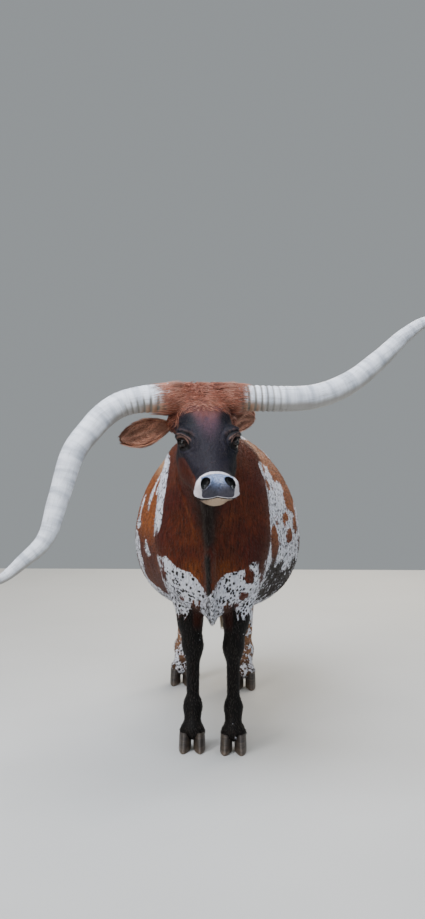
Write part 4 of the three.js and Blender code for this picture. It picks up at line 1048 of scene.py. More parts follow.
    def coat(self, p: Array, body: Array) -> dict[str, Array]:
        """The marks off the head.

        Args:
            p: points on the skin.
            body: one off the head, zero on it.

        Returns:
            A value for each point under each name.
        """
        x, y, z = p.T
        reach = np.abs(x)
        fore, hind, tail = ramp(200, 120, y), ramp(980, 1060, y), ramp(1270, 1300, y)
        low = 548 + 74 * ramp(104, 78, reach)
        low = np.where((reach < 46) & (y < -60), 480, low + 13 * np.sin(x / 4.2) + 9 * np.sin(x / 1.9 + 1))
        white = self.white(p, low, body)
        inside = ramp(96, 70, reach) * ramp(450, 520, z)
        dark = fore * ramp(low + 24, low - 20, z) * ramp(-20, 20, 700 - z) * (1 - 0.42 * inside)
        dark = np.maximum(dark, 0.62 * hind * ramp(170, 110, z))
        middle = x + 10 + 0.03 * (z - 800)
        wide = 26 + 0.26 * np.clip(z - 850, 0, 220)
        # painted shadow of the head below the chin, down the front of the neck towards the dewlap
        painted_throat_shadow = bell(middle, 2, wide) * ramp(800, 900, z) * ramp(-90, -170, y)
        dark = np.maximum(dark, 0.8 * painted_throat_shadow * body * ramp(1260, 1180, z))
        # painted shade in the dewlap's crease: a dark line down the middle of the chest to the brisket's tip
        narrow = 11 + 0.05 * np.clip(z - 740, 0, 200)
        painted_crease_shade = bell(middle, 0, narrow) * ramp(-60, -160, y) * ramp(880, 820, z)
        dark = np.maximum(dark, painted_crease_shade * body)
        # painted shade on the neck's and chest's left side (+X), which is turned away from the key light
        dark = np.maximum(dark, 0.42 * ramp(110, 176, x) * ramp(1000, 840, z) * ramp(60, 0, y) * body)
        belly = ramp(800, 690, z) * ramp(90, 170, y) * ramp(950, 850, y) * (reach > 60)
        dark = np.maximum(dark, (0.3 + 0.5 * ramp(-60, 60, x)) * belly)
        white = white + (0.5 - 0.2 * ramp(60, -60, x)) * belly
        dash = bell(x + 8, 0, 7) * ramp(700, 660, z) * ramp(0, -60, y) * ramp(-0.3, 0.3, np.sin(z / 4.5))
        warm = 0.05 + 0.85 * ramp(110, 300, y) * ramp(740, 880, z) + 0.4 * hind * ramp(480, 700, z)
        warm += 0.6 * ramp(80, 150, -x) * ramp(60, 130, y) * ramp(840, 930, z)
        warm += 0.55 * bell(np.abs(middle), 60, 34) * ramp(830, 780, z) * ramp(0, -80, y)
        # painted highlights: light lines along the crests of two neck folds, stronger on the lit right side
        # (-X)
        for start, lean, gain in ((-96, 0.30, 0.34), (74, -0.16, 0.12)):
            away = x - start - lean * (1005 - z) - 5 * np.sin(0.021 * z)
            warm += (0.8 * gain * bell(away, 0, 4.5) * ramp(800, 870, z) * ramp(1160, 1060, z)
                     * ramp(60, -60, y))
        speck = 0.6 + 0.36 * ramp(770, 590, z) * fore + 0.1 * ramp(150, 300, y) * ramp(1000, 800, z)
        return {
            "white": white, "dark": dark, "warm": np.clip(warm - 0.6 * ramp(640, 560, z) * fore, 0, 1) * body,
            "speck": np.clip(speck + 2.0 * dash - tail, 0, 1) * body, "dash": np.clip(dash, 0, 1),
            "bare": np.clip(ramp(-4, -14, FLESH.UDDER(p) - 24) * 0.95
                            + (FLESH.udder(p) < 6) * ramp(560, 545, z) * ramp(700, 800, y), 0, 1),
            "roan": (0.3 + 0.7 * np.maximum(ramp(760, 600, z), ramp(0.2, 1.0, white))) * body,
            "cream": (0.75 * ramp(1090, 1250, z + 60 * ramp(40, -40, x)) * ramp(200, 460, y)
                      + 0.5 * tail * ramp(900, 700, z)
                      + 0.5 * ramp(-60, -120, x) * ramp(980, 1100, z) * ramp(60, 160, y)
                      + 0.62 * hind * ramp(640, 460, z)) * body,
        }

    def face(self, p: Array, q: Array, on_head: Array) -> dict[str, Array]:
        """The marks of the head.

        Args:
            p: points on the skin.
            q: the same points in the head's axes.
            on_head: one on the head, zero off it.

        Returns:
            A value for each point under each name.
        """
        s, face, muzzle = np.abs(q[:, 0]), q[:, 1], q[:, 2]
        hairline = 84 - 26 * (s / 100) ** 2
        low = -56 + 48 * ramp(205, 262, muzzle)
        mask = ramp(hairline - 40, hairline + 40, muzzle) * ramp(low - 12, low + 14, face)
        middle = ramp(84, 20, s + 0.2 * np.clip(muzzle - 90, 0, 200))
        plum = 0.9 * ramp(-20, 30, muzzle) * ramp(290, 110, muzzle) * middle
        crown = ramp(196, 40, muzzle + 0.5 * s) * ramp(-110, -60, face)
        crown -= 0.6 * np.exp(-((q[:, 0] + 2) / 7) ** 2 - ((muzzle - 118) / 9) ** 2)
        # painted shade, all carried by the mark hollow: the temples' hollows, the head's left side (+X)
        # turned from the light, and a band below each eye
        hollow = 1.3 * bell(s, 80, 34) * bell(muzzle, 116, 50) * ramp(-30, 10, face)
        shade = 0.85 * hollow + 0.9 * ramp(46, 66, q[:, 0]) * ramp(210, 250, muzzle) * ramp(392, 366, muzzle)
        below = 216 + 34 * ramp(-20, 20, q[:, 0])
        shade += 0.8 * ramp(58, 80, s) * ramp(160, 190, muzzle) * ramp(below + 16, below - 16, muzzle)
        rim = 364 + 20 * (s / 74) ** 4
        line = FLESH.mouth_line(muzzle)
        upper = ramp(rim - 5, rim + 5, muzzle) * ramp(-1, 4, face - line)
        chin = ramp(372, 392, muzzle) * ramp(3, -3, face - line) * ramp(-74, -54, face)
        chin *= (1 - 0.42 * ramp(14, 42, s)) * ramp(62, 46, s)
        square = (s / (58 - 9 * ramp(24, 6, face))) ** 3 + (np.maximum(402 - muzzle, 0) / 27) ** 3
        nose = ramp(1.1, 0.92, square ** (1 / 3)) * ramp(368, 376, muzzle) * ramp(5, 11, face - line)
        ring, brow = np.zeros(len(p)), np.zeros(len(p))
        for sign in (1, -1):
            e = EYE.axes(sign).local(p)
            oval = np.hypot(e[:, 0] / 30, e[:, 1] / 21)
            close = ramp(-24, -4, e[:, 2])
            over = ramp(-2, 10, e[:, 1])
            ring = np.maximum(ring, ramp(1.5, 1.1, oval) * close * (1 - 0.6 * over))
            arc = over * close * ramp(38, 22, np.abs(e[:, 0]))
            # painted shadow in the crease over the eye; the ring nearer the eye is the dark bare skin itself
            ring = np.maximum(ring, 0.85 * bell(oval, 1.88, 0.18) * arc)
            brow = np.maximum(brow, (bell(oval, 1.5, 0.14) + 0.35 * bell(oval, 2.3, 0.3)) * arc)
        marks = {
            # the mark hollow is painted shade
            "mask": mask, "plum": plum, "crown": crown, "hollow": shade, "pale": upper, "chin": chin,
            # wet runs from the nose pad's top downwards, and fades its painted sky reflection into the pad's
            # darker colour
            "nose": nose, "wet": ramp(394, 448, muzzle), "ring": ring, "brow": brow,
            # hole: painted shade inside the nostrils and along the mouth's closed line
            "hole": ramp(3.0, 0.9, FLESH.nostrils(p)) + 1.3 * bell(face, line, 3.2) * ramp(350, 372, muzzle),
        }
        return {name: np.clip(value, 0, 1) * on_head for name, value in marks.items()}


MARKINGS = Markings()


def lie_of_coat(p: Array) -> Array:
    """The way the hair points at places on the skin, before it is laid into the surface.

    Args:
        p: points on the skin, in working millimetres.

    Returns:
        Unit vectors: back and down over the trunk, down the neck, chest and legs, and from the
        forehead down the face and back over the cheeks.
    """
    x, y, z = p.T
    q = HEAD.local(p)
    side = np.sign(q[:, 0])
    near = ramp(330, 270, np.linalg.norm(p - HEAD.world([0, -60, 210]), axis=1))[:, None]
    front = ramp(40, -120, y)[:, None]
    low = ramp(640, 540, z)[:, None]
    flank = np.column_stack([0 * x, 1 + 0 * x, -0.32 - 0.3 * ramp(900, 600, z)])
    chest = np.column_stack([0.1 * np.sign(x), 0.5 + 0 * x, -1 + 0 * x])
    leg = np.column_stack([0 * x, 0.14 + 0 * x, -1 + 0 * x])
    back = ramp(-20, -110, q[:, 1])
    face = HEAD.turn(np.column_stack([0.25 * side, -0.9 * back, 1 - 0.75 * back]))
    way = flank * (1 - front) + chest * front
    way = way * (1 - low) + leg * low
    way = way * (1 - near) + face * near
    return unit(way)


def linear(code: str) -> tuple[float, float, float, float]:
    """Turns an sRGB hex colour into the linear one that shaders read."""
    parts = [int(code[i:i + 2], 16) / 255 for i in (1, 3, 5)]
    return tuple(c / 12.92 if c <= 0.04045 else ((c + 0.055) / 1.055) ** 2.4 for c in parts) + (1.0,)


COLOUR_MIX = {"out": 2, "data_type": "RGBA"}
SMOOTH = {"interpolation_type": "SMOOTHSTEP"}


def add(tree: Tree, kind: str, inputs: dict | None = None, out: int | str = 0,
        **settings: object) -> Socket:
    """Adds a node with its settings and links.

    Args:
        tree: the node tree.
        kind: the node's type, less the word ShaderNode.
        inputs: a socket to link or a value to set, under each input's name or number.
        out: the output to hand back.
        settings: properties of the node.

    Returns:
        The chosen output.
    """
    node = tree.nodes.new(f"ShaderNode{kind}")
    for name, value in settings.items():
        setattr(node, name, value)
    for name, value in (inputs or {}).items():
        if isinstance(value, Socket):
            tree.links.new(value, node.inputs[name])
        else:
            node.inputs[name].default_value = value
    return node.outputs[out] if len(node.outputs) else None


@dataclass(frozen=True)
class Finish:
    """A finish named for the real material; each kind gives a shader of its own."""

    name: str

    def shader(self, tree: Tree) -> Socket:
        """Builds the shader's nodes; every kind of finish says how."""
        raise NotImplementedError

    def make(self) -> Material:
        """Builds the material from the shader.

        Returns:
            The material.
        """
        material = bpy.data.materials.new(self.name)
        material.use_nodes = True
        tree = material.node_tree
        tree.nodes.clear()
        add(tree, "OutputMaterial", {"Surface": self.shader(tree)})
        return material


@dataclass(frozen=True)
class Layer:
    """A colour laid on where a mark lies between two levels; ragged lets hairs cross the edge."""

    mark: str
    colour: str
    low: float = 0.3
    high: float = 0.7
    ragged: float = 0.3
    most: float = 1.0


@dataclass(frozen=True)
class CoatFinish(Finish):
    """Short cattle hair over pigmented skin: it shows as fine streaks along the lie, with a soft
    sheen, and its patches meet in ragged, flecked edges; dark specks stand in the white."""

    name: str = "short_cattle_coat"
    mahogany: str = "#582014"
    orange: str = "#9c5520"
    shade: str = "#190907"
    white: str = "#f0f1f8"
    white_shade: str = "#b4b8c6"
    speck: str = "#17100e"
    # pad_top is a painted sky reflection on the nose pad's top; it fades into pad_low further down
    pad_top: str = "#7385a8"
    pad_low: str = "#34323f"
    pad_groove: str = "#15151c"
    brown_layers: tuple[Layer, ...] = (
        # the dark layer paints the black of the legs, and also the painted shade that the dark mark holds
        Layer("cream", "#c8a27c", 0.2, 1.25, 1.2, 0.85), Layer("dark", "#070504", 0.15, 0.9, 0.5),
    )
    head_layers: tuple[Layer, ...] = (
        # mask: the face's black hair, with a blue tint that paints the sky's sheen on it
        Layer("mask", "#181620", 0.25, 0.75, 0.6), Layer("plum", "#46303c", 0.05, 1.0, 0.8, 0.9),
        # hollow: painted shade, nearly black with a blue tint
        Layer("crown", "#643a34", 0.0, 1.0, 0.9, 0.95), Layer("hollow", "#070a14", 0.05, 0.85, 0.3, 0.95),
        # ring: the dark bare skin round the eye, and the painted shadow of the crease over it
        Layer("brow", "#7c5f56", 0.1, 1.0, 0.9, 0.6), Layer("ring", "#080607", 0.25, 0.85, 0.3, 0.9),
        Layer("pale", "#d8d4da", 0.2, 0.8, 0.9),
        Layer("chin", "#bca48c", 0.1, 0.95, 0.5),
    )
    last_layers: tuple[Layer, ...] = (
        Layer("bare", "#b08a7c"), Layer("dash", "#120e0e", 0.3, 0.7, 0.2, 0.8),
        # hole paints the shade inside the nostrils and along the mouth's line
        Layer("hole", "#050405", 0.2, 0.8, 0.0),
    )
    streak: float = 6.0  # mm across a streak; single hairs, 0.05 mm, are too fine to show
    fleck: float = 26.0  # mm across a fleck of the other colour
    patch: float = 110.0  # mm across the bays in a patch's edge
    speck_gap: float = 13.0  # mm from speck to speck
    pore: float = 6.0  # mm across the beads of the nose pad

    def streaks(self, tree: Tree, place: Socket, down: Socket) -> Socket:
        """Fine noise, stretched along the trunk, or upright where the hair hangs down.

        Args:
            tree: the node tree.
            place: object coordinates.
            down: how far the hair hangs down.

        Returns:
            The hair noise.
        """
        fine, long = 1 / (self.streak * MM), 1 / (self.streak * 9 * MM)
        back, hung = (add(tree, "TexNoise", {
            "Vector": add(tree, "Mapping", {"Vector": place, "Scale": scale}),
            "Scale": 1.0, "Detail": 4.0, "Roughness": 0.62,
        }) for scale in ((fine, long, fine), (fine, fine, long)))
        return add(tree, "Mix", {0: down, 2: back, 3: hung})

    def whiteness(self, tree: Tree, place: Socket, mark: dict[str, Socket],
                  streak: Socket) -> Socket:
        """Cuts the white at zero after bays, flecks and single hairs have moved it.

        Args:
            tree: the node tree.
            place: object coordinates.
            mark: the marks by name.
            streak: the hair noise.

        Returns:
            The share of white.
        """
        level = add(tree, "Math", {0: streak, 1: 0.9, 2: mark["white"]}, operation="MULTIPLY_ADD")
        for size, detail, swing in ((self.patch, 3.0, 1.6), (self.fleck, 3.0, 0.0)):
            noise = add(tree, "TexNoise", {
                "Vector": place, "Scale": 1 / (size * MM), "Detail": detail, "Roughness": 0.62,
            })
            centred = add(tree, "Math", {0: noise, 1: 0.5}, operation="SUBTRACT")
            amount = swing or add(tree, "Math", {0: mark["roan"], 1: 3.4}, operation="MULTIPLY")
            level = add(tree, "Math", {0: centred, 1: amount, 2: level}, operation="MULTIPLY_ADD")
        return add(tree, "MapRange", {"Value": level, "From Min": 0.38, "From Max": 0.52})

    def specks(self, tree: Tree, place: Socket, amount: Socket) -> Socket:
        """Draws a dot in each cell of a pattern, as large as the amount is over the cell's chance.

        Args:
            tree: the node tree.
            place: object coordinates.
            amount: how thick the dots stand.

        Returns:
            The share of dots.
        """
        sway = add(tree, "TexNoise", {"Vector": place, "Scale": 110.0, "Detail": 2.0}, out="Color")
        bent = add(tree, "VectorMath", {0: sway, 1: (0.009, 0.009, 0.009), 2: place},
                   operation="MULTIPLY_ADD")
        step = 1 / (self.speck_gap * MM)
        sets = []
        for shift in (0.0, 31.7):
            cells = add(tree, "Mapping", {
                "Vector": bent, "Location": (shift, shift, shift), "Scale": (step, step, step * 0.8),
            })
            far = add(tree, "TexVoronoi", {"Vector": cells, "Scale": 1.0}, out="Distance")
            chance = add(tree, "SeparateColor", {"Color": far.node.outputs["Color"]}, out="Red")
            spare = add(tree, "Math", {0: amount, 1: chance}, operation="SUBTRACT")
            reach = add(tree, "MapRange", {
                "Value": spare, "From Min": 0.0, "From Max": 0.5, "To Min": 0.0, "To Max": 0.46,
            })
            sets.append(add(tree, "Math", {0: reach, 1: far}, operation="SUBTRACT"))
        inside = add(tree, "Math", {0: sets[0], 1: sets[1]}, operation="MAXIMUM")
        return add(tree, "MapRange", {"Value": inside, "From Min": -0.05, "From Max": 0.06})

    def lay(self, tree: Tree, colour: Socket, layers: tuple[Layer, ...],
            mark: dict[str, Socket], streak: Socket) -> Socket:
        """Lays layers over a colour, in their order.

        Args:
            tree: the node tree.
            colour: the colour below.
            layers: the layers.
            mark: the marks by name.
            streak: the hair noise that makes an edge ragged.

        Returns:
            The colour with all layers.
        """
        for layer in layers:
            moved = add(tree, "Math", {0: streak, 1: layer.ragged, 2: mark[layer.mark]},
                        operation="MULTIPLY_ADD")
            share = add(tree, "MapRange", {
                "Value": moved, "From Min": layer.low + layer.ragged / 2,
                "From Max": layer.high + layer.ragged / 2, "To Max": layer.most,
            }, **SMOOTH)
            colour = add(tree, "Mix", {0: share, 6: colour, 7: linear(layer.colour)}, **COLOUR_MIX)
        return colour

    def ground(self, tree: Tree, place: Socket, mark: dict[str, Socket],
               streak: Socket) -> Socket:
        """Mixes mahogany and orange brown with dark hair lines, and sets the white against them.

        Args:
            tree: the node tree.
            place: object coordinates.
            mark: the marks by name.
            streak: the hair noise.

        Returns:
            The colour of the trunk and legs.
        """
        cloud = add(tree, "TexNoise", {"Vector": place, "Scale": 7.0, "Detail": 4.0})
        warm = add(tree, "Math", {0: cloud, 1: 0.9, 2: mark["warm"]}, operation="MULTIPLY_ADD")
        warmth = add(tree, "MapRange", {"Value": warm, "From Min": 0.4, "From Max": 1.35})
        brown = add(tree, "Mix", {0: warmth, 6: linear(self.mahogany), 7: linear(self.orange)},
                    **COLOUR_MIX)
        lines = add(tree, "MapRange", {
            "Value": streak, "From Min": 0.64, "From Max": 0.34, "To Max": 0.8,
        })
        brown = add(tree, "Mix", {0: lines, 6: brown, 7: linear(self.shade)}, **COLOUR_MIX)
        brown = self.lay(tree, brown, self.brown_layers, mark, streak)
        white = add(tree, "Mix", {0: lines, 6: linear(self.white), 7: linear(self.white_shade)},
                    **COLOUR_MIX)
        white = add(tree, "Mix", {
            0: self.specks(tree, place, mark["speck"]), 6: white, 7: linear(self.speck),
        }, **COLOUR_MIX)
        share = self.whiteness(tree, place, mark, streak)
        return add(tree, "Mix", {0: share, 6: brown, 7: white}, **COLOUR_MIX)

    def shader(self, tree: Tree) -> Socket:
        """Builds the coat, the head's marks and their painted shade, the beaded nose pad with a painted
        sky reflection at its top, and the holes' painted shade.

        Args:
            tree: the node tree.

        Returns:
            The shader.
        """
        place = add(tree, "TexCoord", out="Object")
        names = {"white", "warm", "roan", "down", "tip", "speck", "nose", "wet"}
        names |= {layer.mark for layer in self.brown_layers + self.head_layers + self.last_layers}
        mark = {n: add(tree, "Attribute", out="Fac", attribute_name=n) for n in sorted(names)}
        streak = self.streaks(tree, place, mark["down"])
        colour = self.lay(tree, self.ground(tree, place, mark, streak), self.head_layers, mark, streak)
        beads = add(tree, "TexVoronoi", {"Vector": place, "Scale": 1 / (self.pore * MM)}, out="Distance")
        # painted sky reflection at the pad's top, fading down to its darker colour
        pad = add(tree, "Mix", {0: mark["wet"], 6: linear(self.pad_top), 7: linear(self.pad_low)},
                  **COLOUR_MIX)
        grooves = add(tree, "MapRange", {
            "Value": beads, "From Min": 0.45, "From Max": 0.85, "To Max": 0.55,
        })
        pad = add(tree, "Mix", {0: grooves, 6: pad, 7: linear(self.pad_groove)}, **COLOUR_MIX)
        is_nose = add(tree, "MapRange", {"Value": mark["nose"], "From Min": 0.35, "From Max": 0.65})
        colour = add(tree, "Mix", {0: is_nose, 6: colour, 7: pad}, **COLOUR_MIX)
        colour = self.lay(tree, colour, self.last_layers, mark, streak)
        tips = add(tree, "Math", {0: mark["tip"], 1: 0.10}, operation="MULTIPLY")
        colour = add(tree, "Mix", {0: tips, 6: colour, 7: linear("#f4e6d8")}, **COLOUR_MIX)
        bead_height = add(tree, "Math", {0: beads, 1: -0.8}, operation="MULTIPLY")
        height = add(tree, "Mix", {0: is_nose, 2: streak, 3: bead_height})
        bump = add(tree, "Bump", {"Height": height, "Strength": 0.55, "Distance": 0.004})
        return add(tree, "BsdfPrincipled", {
            "Base Color": colour, "Normal": bump, "IOR": 1.5,
            "Roughness": add(tree, "MapRange", {"Value": is_nose, "To Min": 0.6, "To Max": 0.36}),
            "Specular IOR Level": add(tree, "MapRange", {
                "Value": is_nose, "To Min": 0.16, "To Max": 0.5,
            }),
        })


@dataclass(frozen=True)
class StrandFinish(Finish):
    """Long hair: each lock has its own tone, darker at the root, with the gloss of hair."""

    root: str
    middle: str
    tip: str
    roughness: float = 0.48

    def shader(self, tree: Tree) -> Socket:
        """Darkens each lock by its tone, and mixes root, middle and tip along it.

        Args:
            tree: the node tree.

        Returns:
            The shader.
        """
        place = add(tree, "TexCoord", out="Object")
        along = add(tree, "Attribute", out="Fac", attribute_name="tip")
        tone = add(tree, "Attribute", out="Fac", attribute_name="tone")
        cloud = add(tree, "TexNoise", {"Vector": place, "Scale": 28.0, "Detail": 3.0})
        first = add(tree, "Mix", {
            0: add(tree, "MapRange", {"Value": along, "From Max": 0.35}),
            6: linear(self.root), 7: linear(self.middle),
        }, **COLOUR_MIX)
        second = add(tree, "Mix", {
            0: add(tree, "MapRange", {"Value": along, "From Min": 0.35, "From Max": 1.0}),
            6: first, 7: linear(self.tip),
        }, **COLOUR_MIX)
        share = add(tree, "Math", {0: tone, 1: cloud}, operation="MULTIPLY")
        darker = add(tree, "Mix", {
            0: add(tree, "MapRange", {"Value": share, "From Min": 0.05, "From Max": 0.5, "To Max": 0.7}),
            6: second, 7: linear(self.root),
        }, **COLOUR_MIX)
        return add(tree, "BsdfPrincipled", {
            "Base Color": darker, "Roughness": self.roughness, "IOR": 1.55, "Specular IOR Level": 0.3,
        })


@dataclass(frozen=True)
class HornFinish(Finish):
    """Horn keratin, grown in sheaths and weathered: pale, with grey bands and fibres lengthwise."""

    name: str = "weathered_horn_keratin"
    pale: str = "#e6ebf4"
    grey: str = "#98a1ae"
    cloud: str = "#b9bfc8"
    dirt: str = "#6c6961"
    # painted shade on the horn's lower side
    painted_under_shade: str = "#8f8b84"
    root: str = "#96683f"
    tip: str = "#8d8a84"
    fibre: float = 2.6  # mm across a fibre; drawn coarse, the real ones are under 1 mm
    band: float = 34.0  # mm along the horn between growth bands

    def shader(self, tree: Tree) -> Socket:
        """Lays bands, fibres, clouds, painted shade on the horn's lower side, dirt and stain over pale
        horn, and raises the fibres.

        Args:
            tree: the node tree.

        Returns:
            The shader.
        """
        grain = add(tree, "Attribute", out="Vector", attribute_name="grain")
        t = add(tree, "Attribute", out="Fac", attribute_name="along")
        groove = add(tree, "Attribute", out="Fac", attribute_name="groove")
        fine = 1 / (self.fibre * MM)
        fibres = add(tree, "TexNoise", {
            "Vector": add(tree, "Mapping", {"Vector": grain, "Scale": (fine, fine, fine / 30)}),
            "Scale": 1.0, "Detail": 3.0, "Roughness": 0.6,
        })
        step = 1 / (self.band * MM)
        bands = add(tree, "TexNoise", {
            "Vector": add(tree, "Mapping", {"Vector": grain, "Scale": (step / 8, step / 8, step)}),
            "Scale": 1.0, "Detail": 4.0, "Roughness": 0.55,
        })
        clouds = add(tree, "TexNoise", {"Vector": grain, "Scale": 9.0, "Detail": 4.0})
        under = add(tree, "Attribute", out="Fac", attribute_name="under")
        # under rises on faces that look down; with the clouds it paints shade on the horn's lower side
        cloud_and_under_shade = add(tree, "Math", {0: clouds, 1: 0.9, 2: under}, operation="MULTIPLY_ADD")
        near = add(tree, "MapRange", {"Value": t, "From Min": 0.16, "From Max": 0.02})
        stain = add(tree, "Math", {0: cloud_and_under_shade, 1: near}, operation="MULTIPLY")
        colour = linear(self.pale)
        for value, low, high, most, tint in (
            (bands, 0.42, 0.7, 0.8, self.grey), (fibres, 0.5, 0.74, 0.42, self.dirt),
            (clouds, 0.52, 0.75, 0.5, self.cloud), (cloud_and_under_shade, 0.7, 1.35, 0.9, self.painted_under_shade),
            (stain, 0.4, 1.0, 0.75, self.root), (groove, 0.1, 0.75, 0.9, self.dirt),
            (t, 0.82, 1.0, 0.8, self.tip),
        ):
            share = add(tree, "MapRange", {
                "Value": value, "From Min": low, "From Max": high, "To Max": most,
            }, **SMOOTH)
            colour = add(tree, "Mix", {0: share, 6: colour, 7: linear(tint)}, **COLOUR_MIX)
        height = add(tree, "Math", {0: fibres, 1: bands}, operation="ADD")
        bump = add(tree, "Bump", {"Height": height, "Strength": 0.5, "Distance": 0.0025})
        rough = add(tree, "MapRange", {"Value": fibres, "To Min": 0.4, "To Max": 0.62})
        return add(tree, "BsdfPrincipled", {
            "Base Color": colour, "Roughness": rough, "Normal": bump, "IOR": 1.54, "Specular IOR Level": 0.4,
        })


@dataclass(frozen=True)
class HoofFinish(Finish):
    """Hoof horn, worn by ground: dark and satin, with level growth rings and a paler worn edge."""

    name: str = "worn_hoof_horn"
    dark: str = "#2a2421"
    pale: str = "#6a5c4e"
    ring: float = 7.0  # mm between growth rings

    def shader(self, tree: Tree) -> Socket:
        """Mixes dark and pale by the growth rings, and pales the worn edge at the ground.

        Args:
            tree: the node tree.

        Returns:
            The shader.
        """
        place = add(tree, "TexCoord", out="Object")
        step = 1 / (self.ring * MM)
        rings = add(tree, "TexNoise", {
            "Vector": add(tree, "Mapping", {"Vector": place, "Scale": (step / 9, step / 9, step)}),
            "Scale": 1.0, "Detail": 3.0,
        })
        height = add(tree, "SeparateXYZ", {"Vector": place}, out="Z")
        worn = add(tree, "MapRange", {
            "Value": height, "From Min": 0.03, "From Max": 0.0, "To Max": 0.55,
        })
        share = add(tree, "MapRange", {"Value": rings, "From Min": 0.4, "From Max": 0.8, "To Max": 0.6})
        both = add(tree, "Math", {0: share, 1: worn}, operation="ADD", use_clamp=True)
        colour = add(tree, "Mix", {0: both, 6: linear(self.dark), 7: linear(self.pale)},
                     **COLOUR_MIX)
        bump = add(tree, "Bump", {"Height": rings, "Strength": 0.6, "Distance": 0.002})
        return add(tree, "BsdfPrincipled", {
            "Base Color": colour, "Roughness": 0.5, "Normal": bump, "IOR": 1.54,
        })


@dataclass(frozen=True)
class EyeFinish(Finish):
    """A wet eyeball: nearly black brown iris, a level pupil, and a sharp highlight."""

    name: str = "wet_eyeball"
    iris: str = "#1c0d07"
    pupil: str = "#030304"
    white: str = "#33241e"

    def shader(self, tree: Tree) -> Socket:
        """Draws pupil, iris and the dark white round the way the eye looks.

        Args:
            tree: the node tree.

        Returns:
            The shader.
        """
        gaze = add(tree, "Attribute", out="Vector", attribute_name="gaze")
        flat = add(tree, "Mapping", {"Vector": gaze, "Scale": (1.0, 1.7, 0.0)})
        pupil = add(tree, "VectorMath", {0: flat}, out="Value", operation="LENGTH")
        flat_round = add(tree, "Mapping", {"Vector": gaze, "Scale": (1.0, 1.0, 0.0)})
        disc = add(tree, "VectorMath", {0: flat_round}, out="Value", operation="LENGTH")
        rays = add(tree, "TexNoise", {"Vector": gaze, "Scale": 14.0, "Detail": 3.0})
        iris = add(tree, "Mix", {0: rays, 6: linear(self.iris), 7: linear("#120806")},
                   **COLOUR_MIX)
        outer = add(tree, "Mix", {
            0: add(tree, "MapRange", {"Value": disc, "From Min": 0.66, "From Max": 0.76}),
            6: iris, 7: linear(self.white),
        }, **COLOUR_MIX)
        colour = add(tree, "Mix", {
            0: add(tree, "MapRange", {"Value": pupil, "From Min": 0.52, "From Max": 0.44}),
            6: outer, 7: linear(self.pupil),
        }, **COLOUR_MIX)
        return add(tree, "BsdfPrincipled", {
            "Base Color": colour, "Roughness": 0.07, "IOR": 1.38, "Coat Weight": 0.15, "Coat Roughness": 0.02,
        })


@dataclass(frozen=True)
class LidFinish(Finish):
    """Lid skin: a black, moist margin, and a thick, creased roll over the eye with short pale hair."""

    name: str = "moist_lid_skin"
    colour: str = "#0b0809"
    roll: str = "#7e6058"
    crease: float = 3.0  # mm across a fine crease

    def shader(self, tree: Tree) -> Socket:
        """Mixes the dark margin and the pale roll, and raises fine creases.

        Args:
            tree: the node tree.

        Returns:
            The shader.
        """
        place = add(tree, "TexCoord", out="Object")
        roll = add(tree, "Attribute", out="Fac", attribute_name="roll")
        crease = add(tree, "TexNoise", {
            "Vector": place, "Scale": 1 / (self.crease * MM), "Detail": 3.0,
        })
        broken = add(tree, "Math", {0: crease, 1: 0.5, 2: roll}, operation="MULTIPLY_ADD")
        share = add(tree, "MapRange", {
            "Value": broken, "From Min": 0.4, "From Max": 1.1, "To Max": 0.9,
        })
        colour = add(tree, "Mix", {0: share, 6: linear(self.colour), 7: linear(self.roll)},
                     **COLOUR_MIX)
        bump = add(tree, "Bump", {"Height": crease, "Strength": 0.4, "Distance": 0.001})
        return add(tree, "BsdfPrincipled", {
            "Base Color": colour, "Normal": bump, "IOR": 1.4, "Specular IOR Level": 0.3,
            "Roughness": add(tree, "MapRange", {"Value": roll, "To Min": 0.34, "To Max": 0.6}),
        })


@dataclass(frozen=True)
class EarFinish(Finish):
    """Thin ear skin under short hair: orange brown with dark slanting streaks, painted shade in the
    cup's depth, and dark round the rim."""

    name: str = "haired_ear_skin"
    pale: str = "#e0a88c"
    brown: str = "#b87456"
    dark: str = "#2a120c"

    def shader(self, tree: Tree) -> Socket:
        """Lays slanting streaks, the painted shade of the cup's depth and the dark rim over pale skin.

        Args:
            tree: the node tree.

        Returns:
            The shader.
        """
        grain = add(tree, "Attribute", out="Vector", attribute_name="grain")
        # deep: painted shade in the cup's depth
        deep = add(tree, "Attribute", out="Fac", attribute_name="deep")
        rim = add(tree, "Attribute", out="Fac", attribute_name="rim")
        streak = add(tree, "TexNoise", {
            "Vector": add(tree, "Mapping", {
                "Vector": grain, "Rotation": (0, 0.5, 0), "Scale": (170, 170, 26),
            }),
            "Scale": 1.0, "Detail": 3.0,
        })
        colour = linear(self.pale)
        for value, low, high, most, tint in (
            (streak, 0.6, 0.4, 1.0, self.brown), (streak, 0.46, 0.38, 0.8, self.dark),
            (deep, 0.35, 1.0, 0.9, self.dark), (rim, 0.5, 1.0, 0.7, self.dark),
        ):
            share = add(tree, "MapRange", {
                "Value": value, "From Min": low, "From Max": high, "To Max": most,
            })
            colour = add(tree, "Mix", {0: share, 6: colour, 7: linear(tint)}, **COLOUR_MIX)
        bump = add(tree, "Bump", {"Height": streak, "Strength": 0.5, "Distance": 0.002})
        return add(tree, "BsdfPrincipled", {
            "Base Color": colour, "Roughness": 0.6, "Normal": bump, "IOR": 1.45, "Specular IOR Level": 0.25,
        })


@dataclass(frozen=True)
class FloorFinish(Finish):
    """A studio's plain pale floor."""

    name: str = "studio_floor_paint"
    colour: str = "#cfd0ce"

    def shader(self, tree: Tree) -> Socket:
        """Mixes two close greys in a slow cloud.

        Args:
            tree: the node tree.

        Returns:
            The shader.
        """
        place = add(tree, "TexCoord", out="Object")
        cloud = add(tree, "TexNoise", {"Vector": place, "Scale": 1.5})
        colour = add(tree, "Mix", {0: cloud, 6: linear(self.colour), 7: linear("#c6c7c5")},
                     **COLOUR_MIX)
        return add(tree, "BsdfPrincipled", {"Base Color": colour, "Roughness": 0.8})


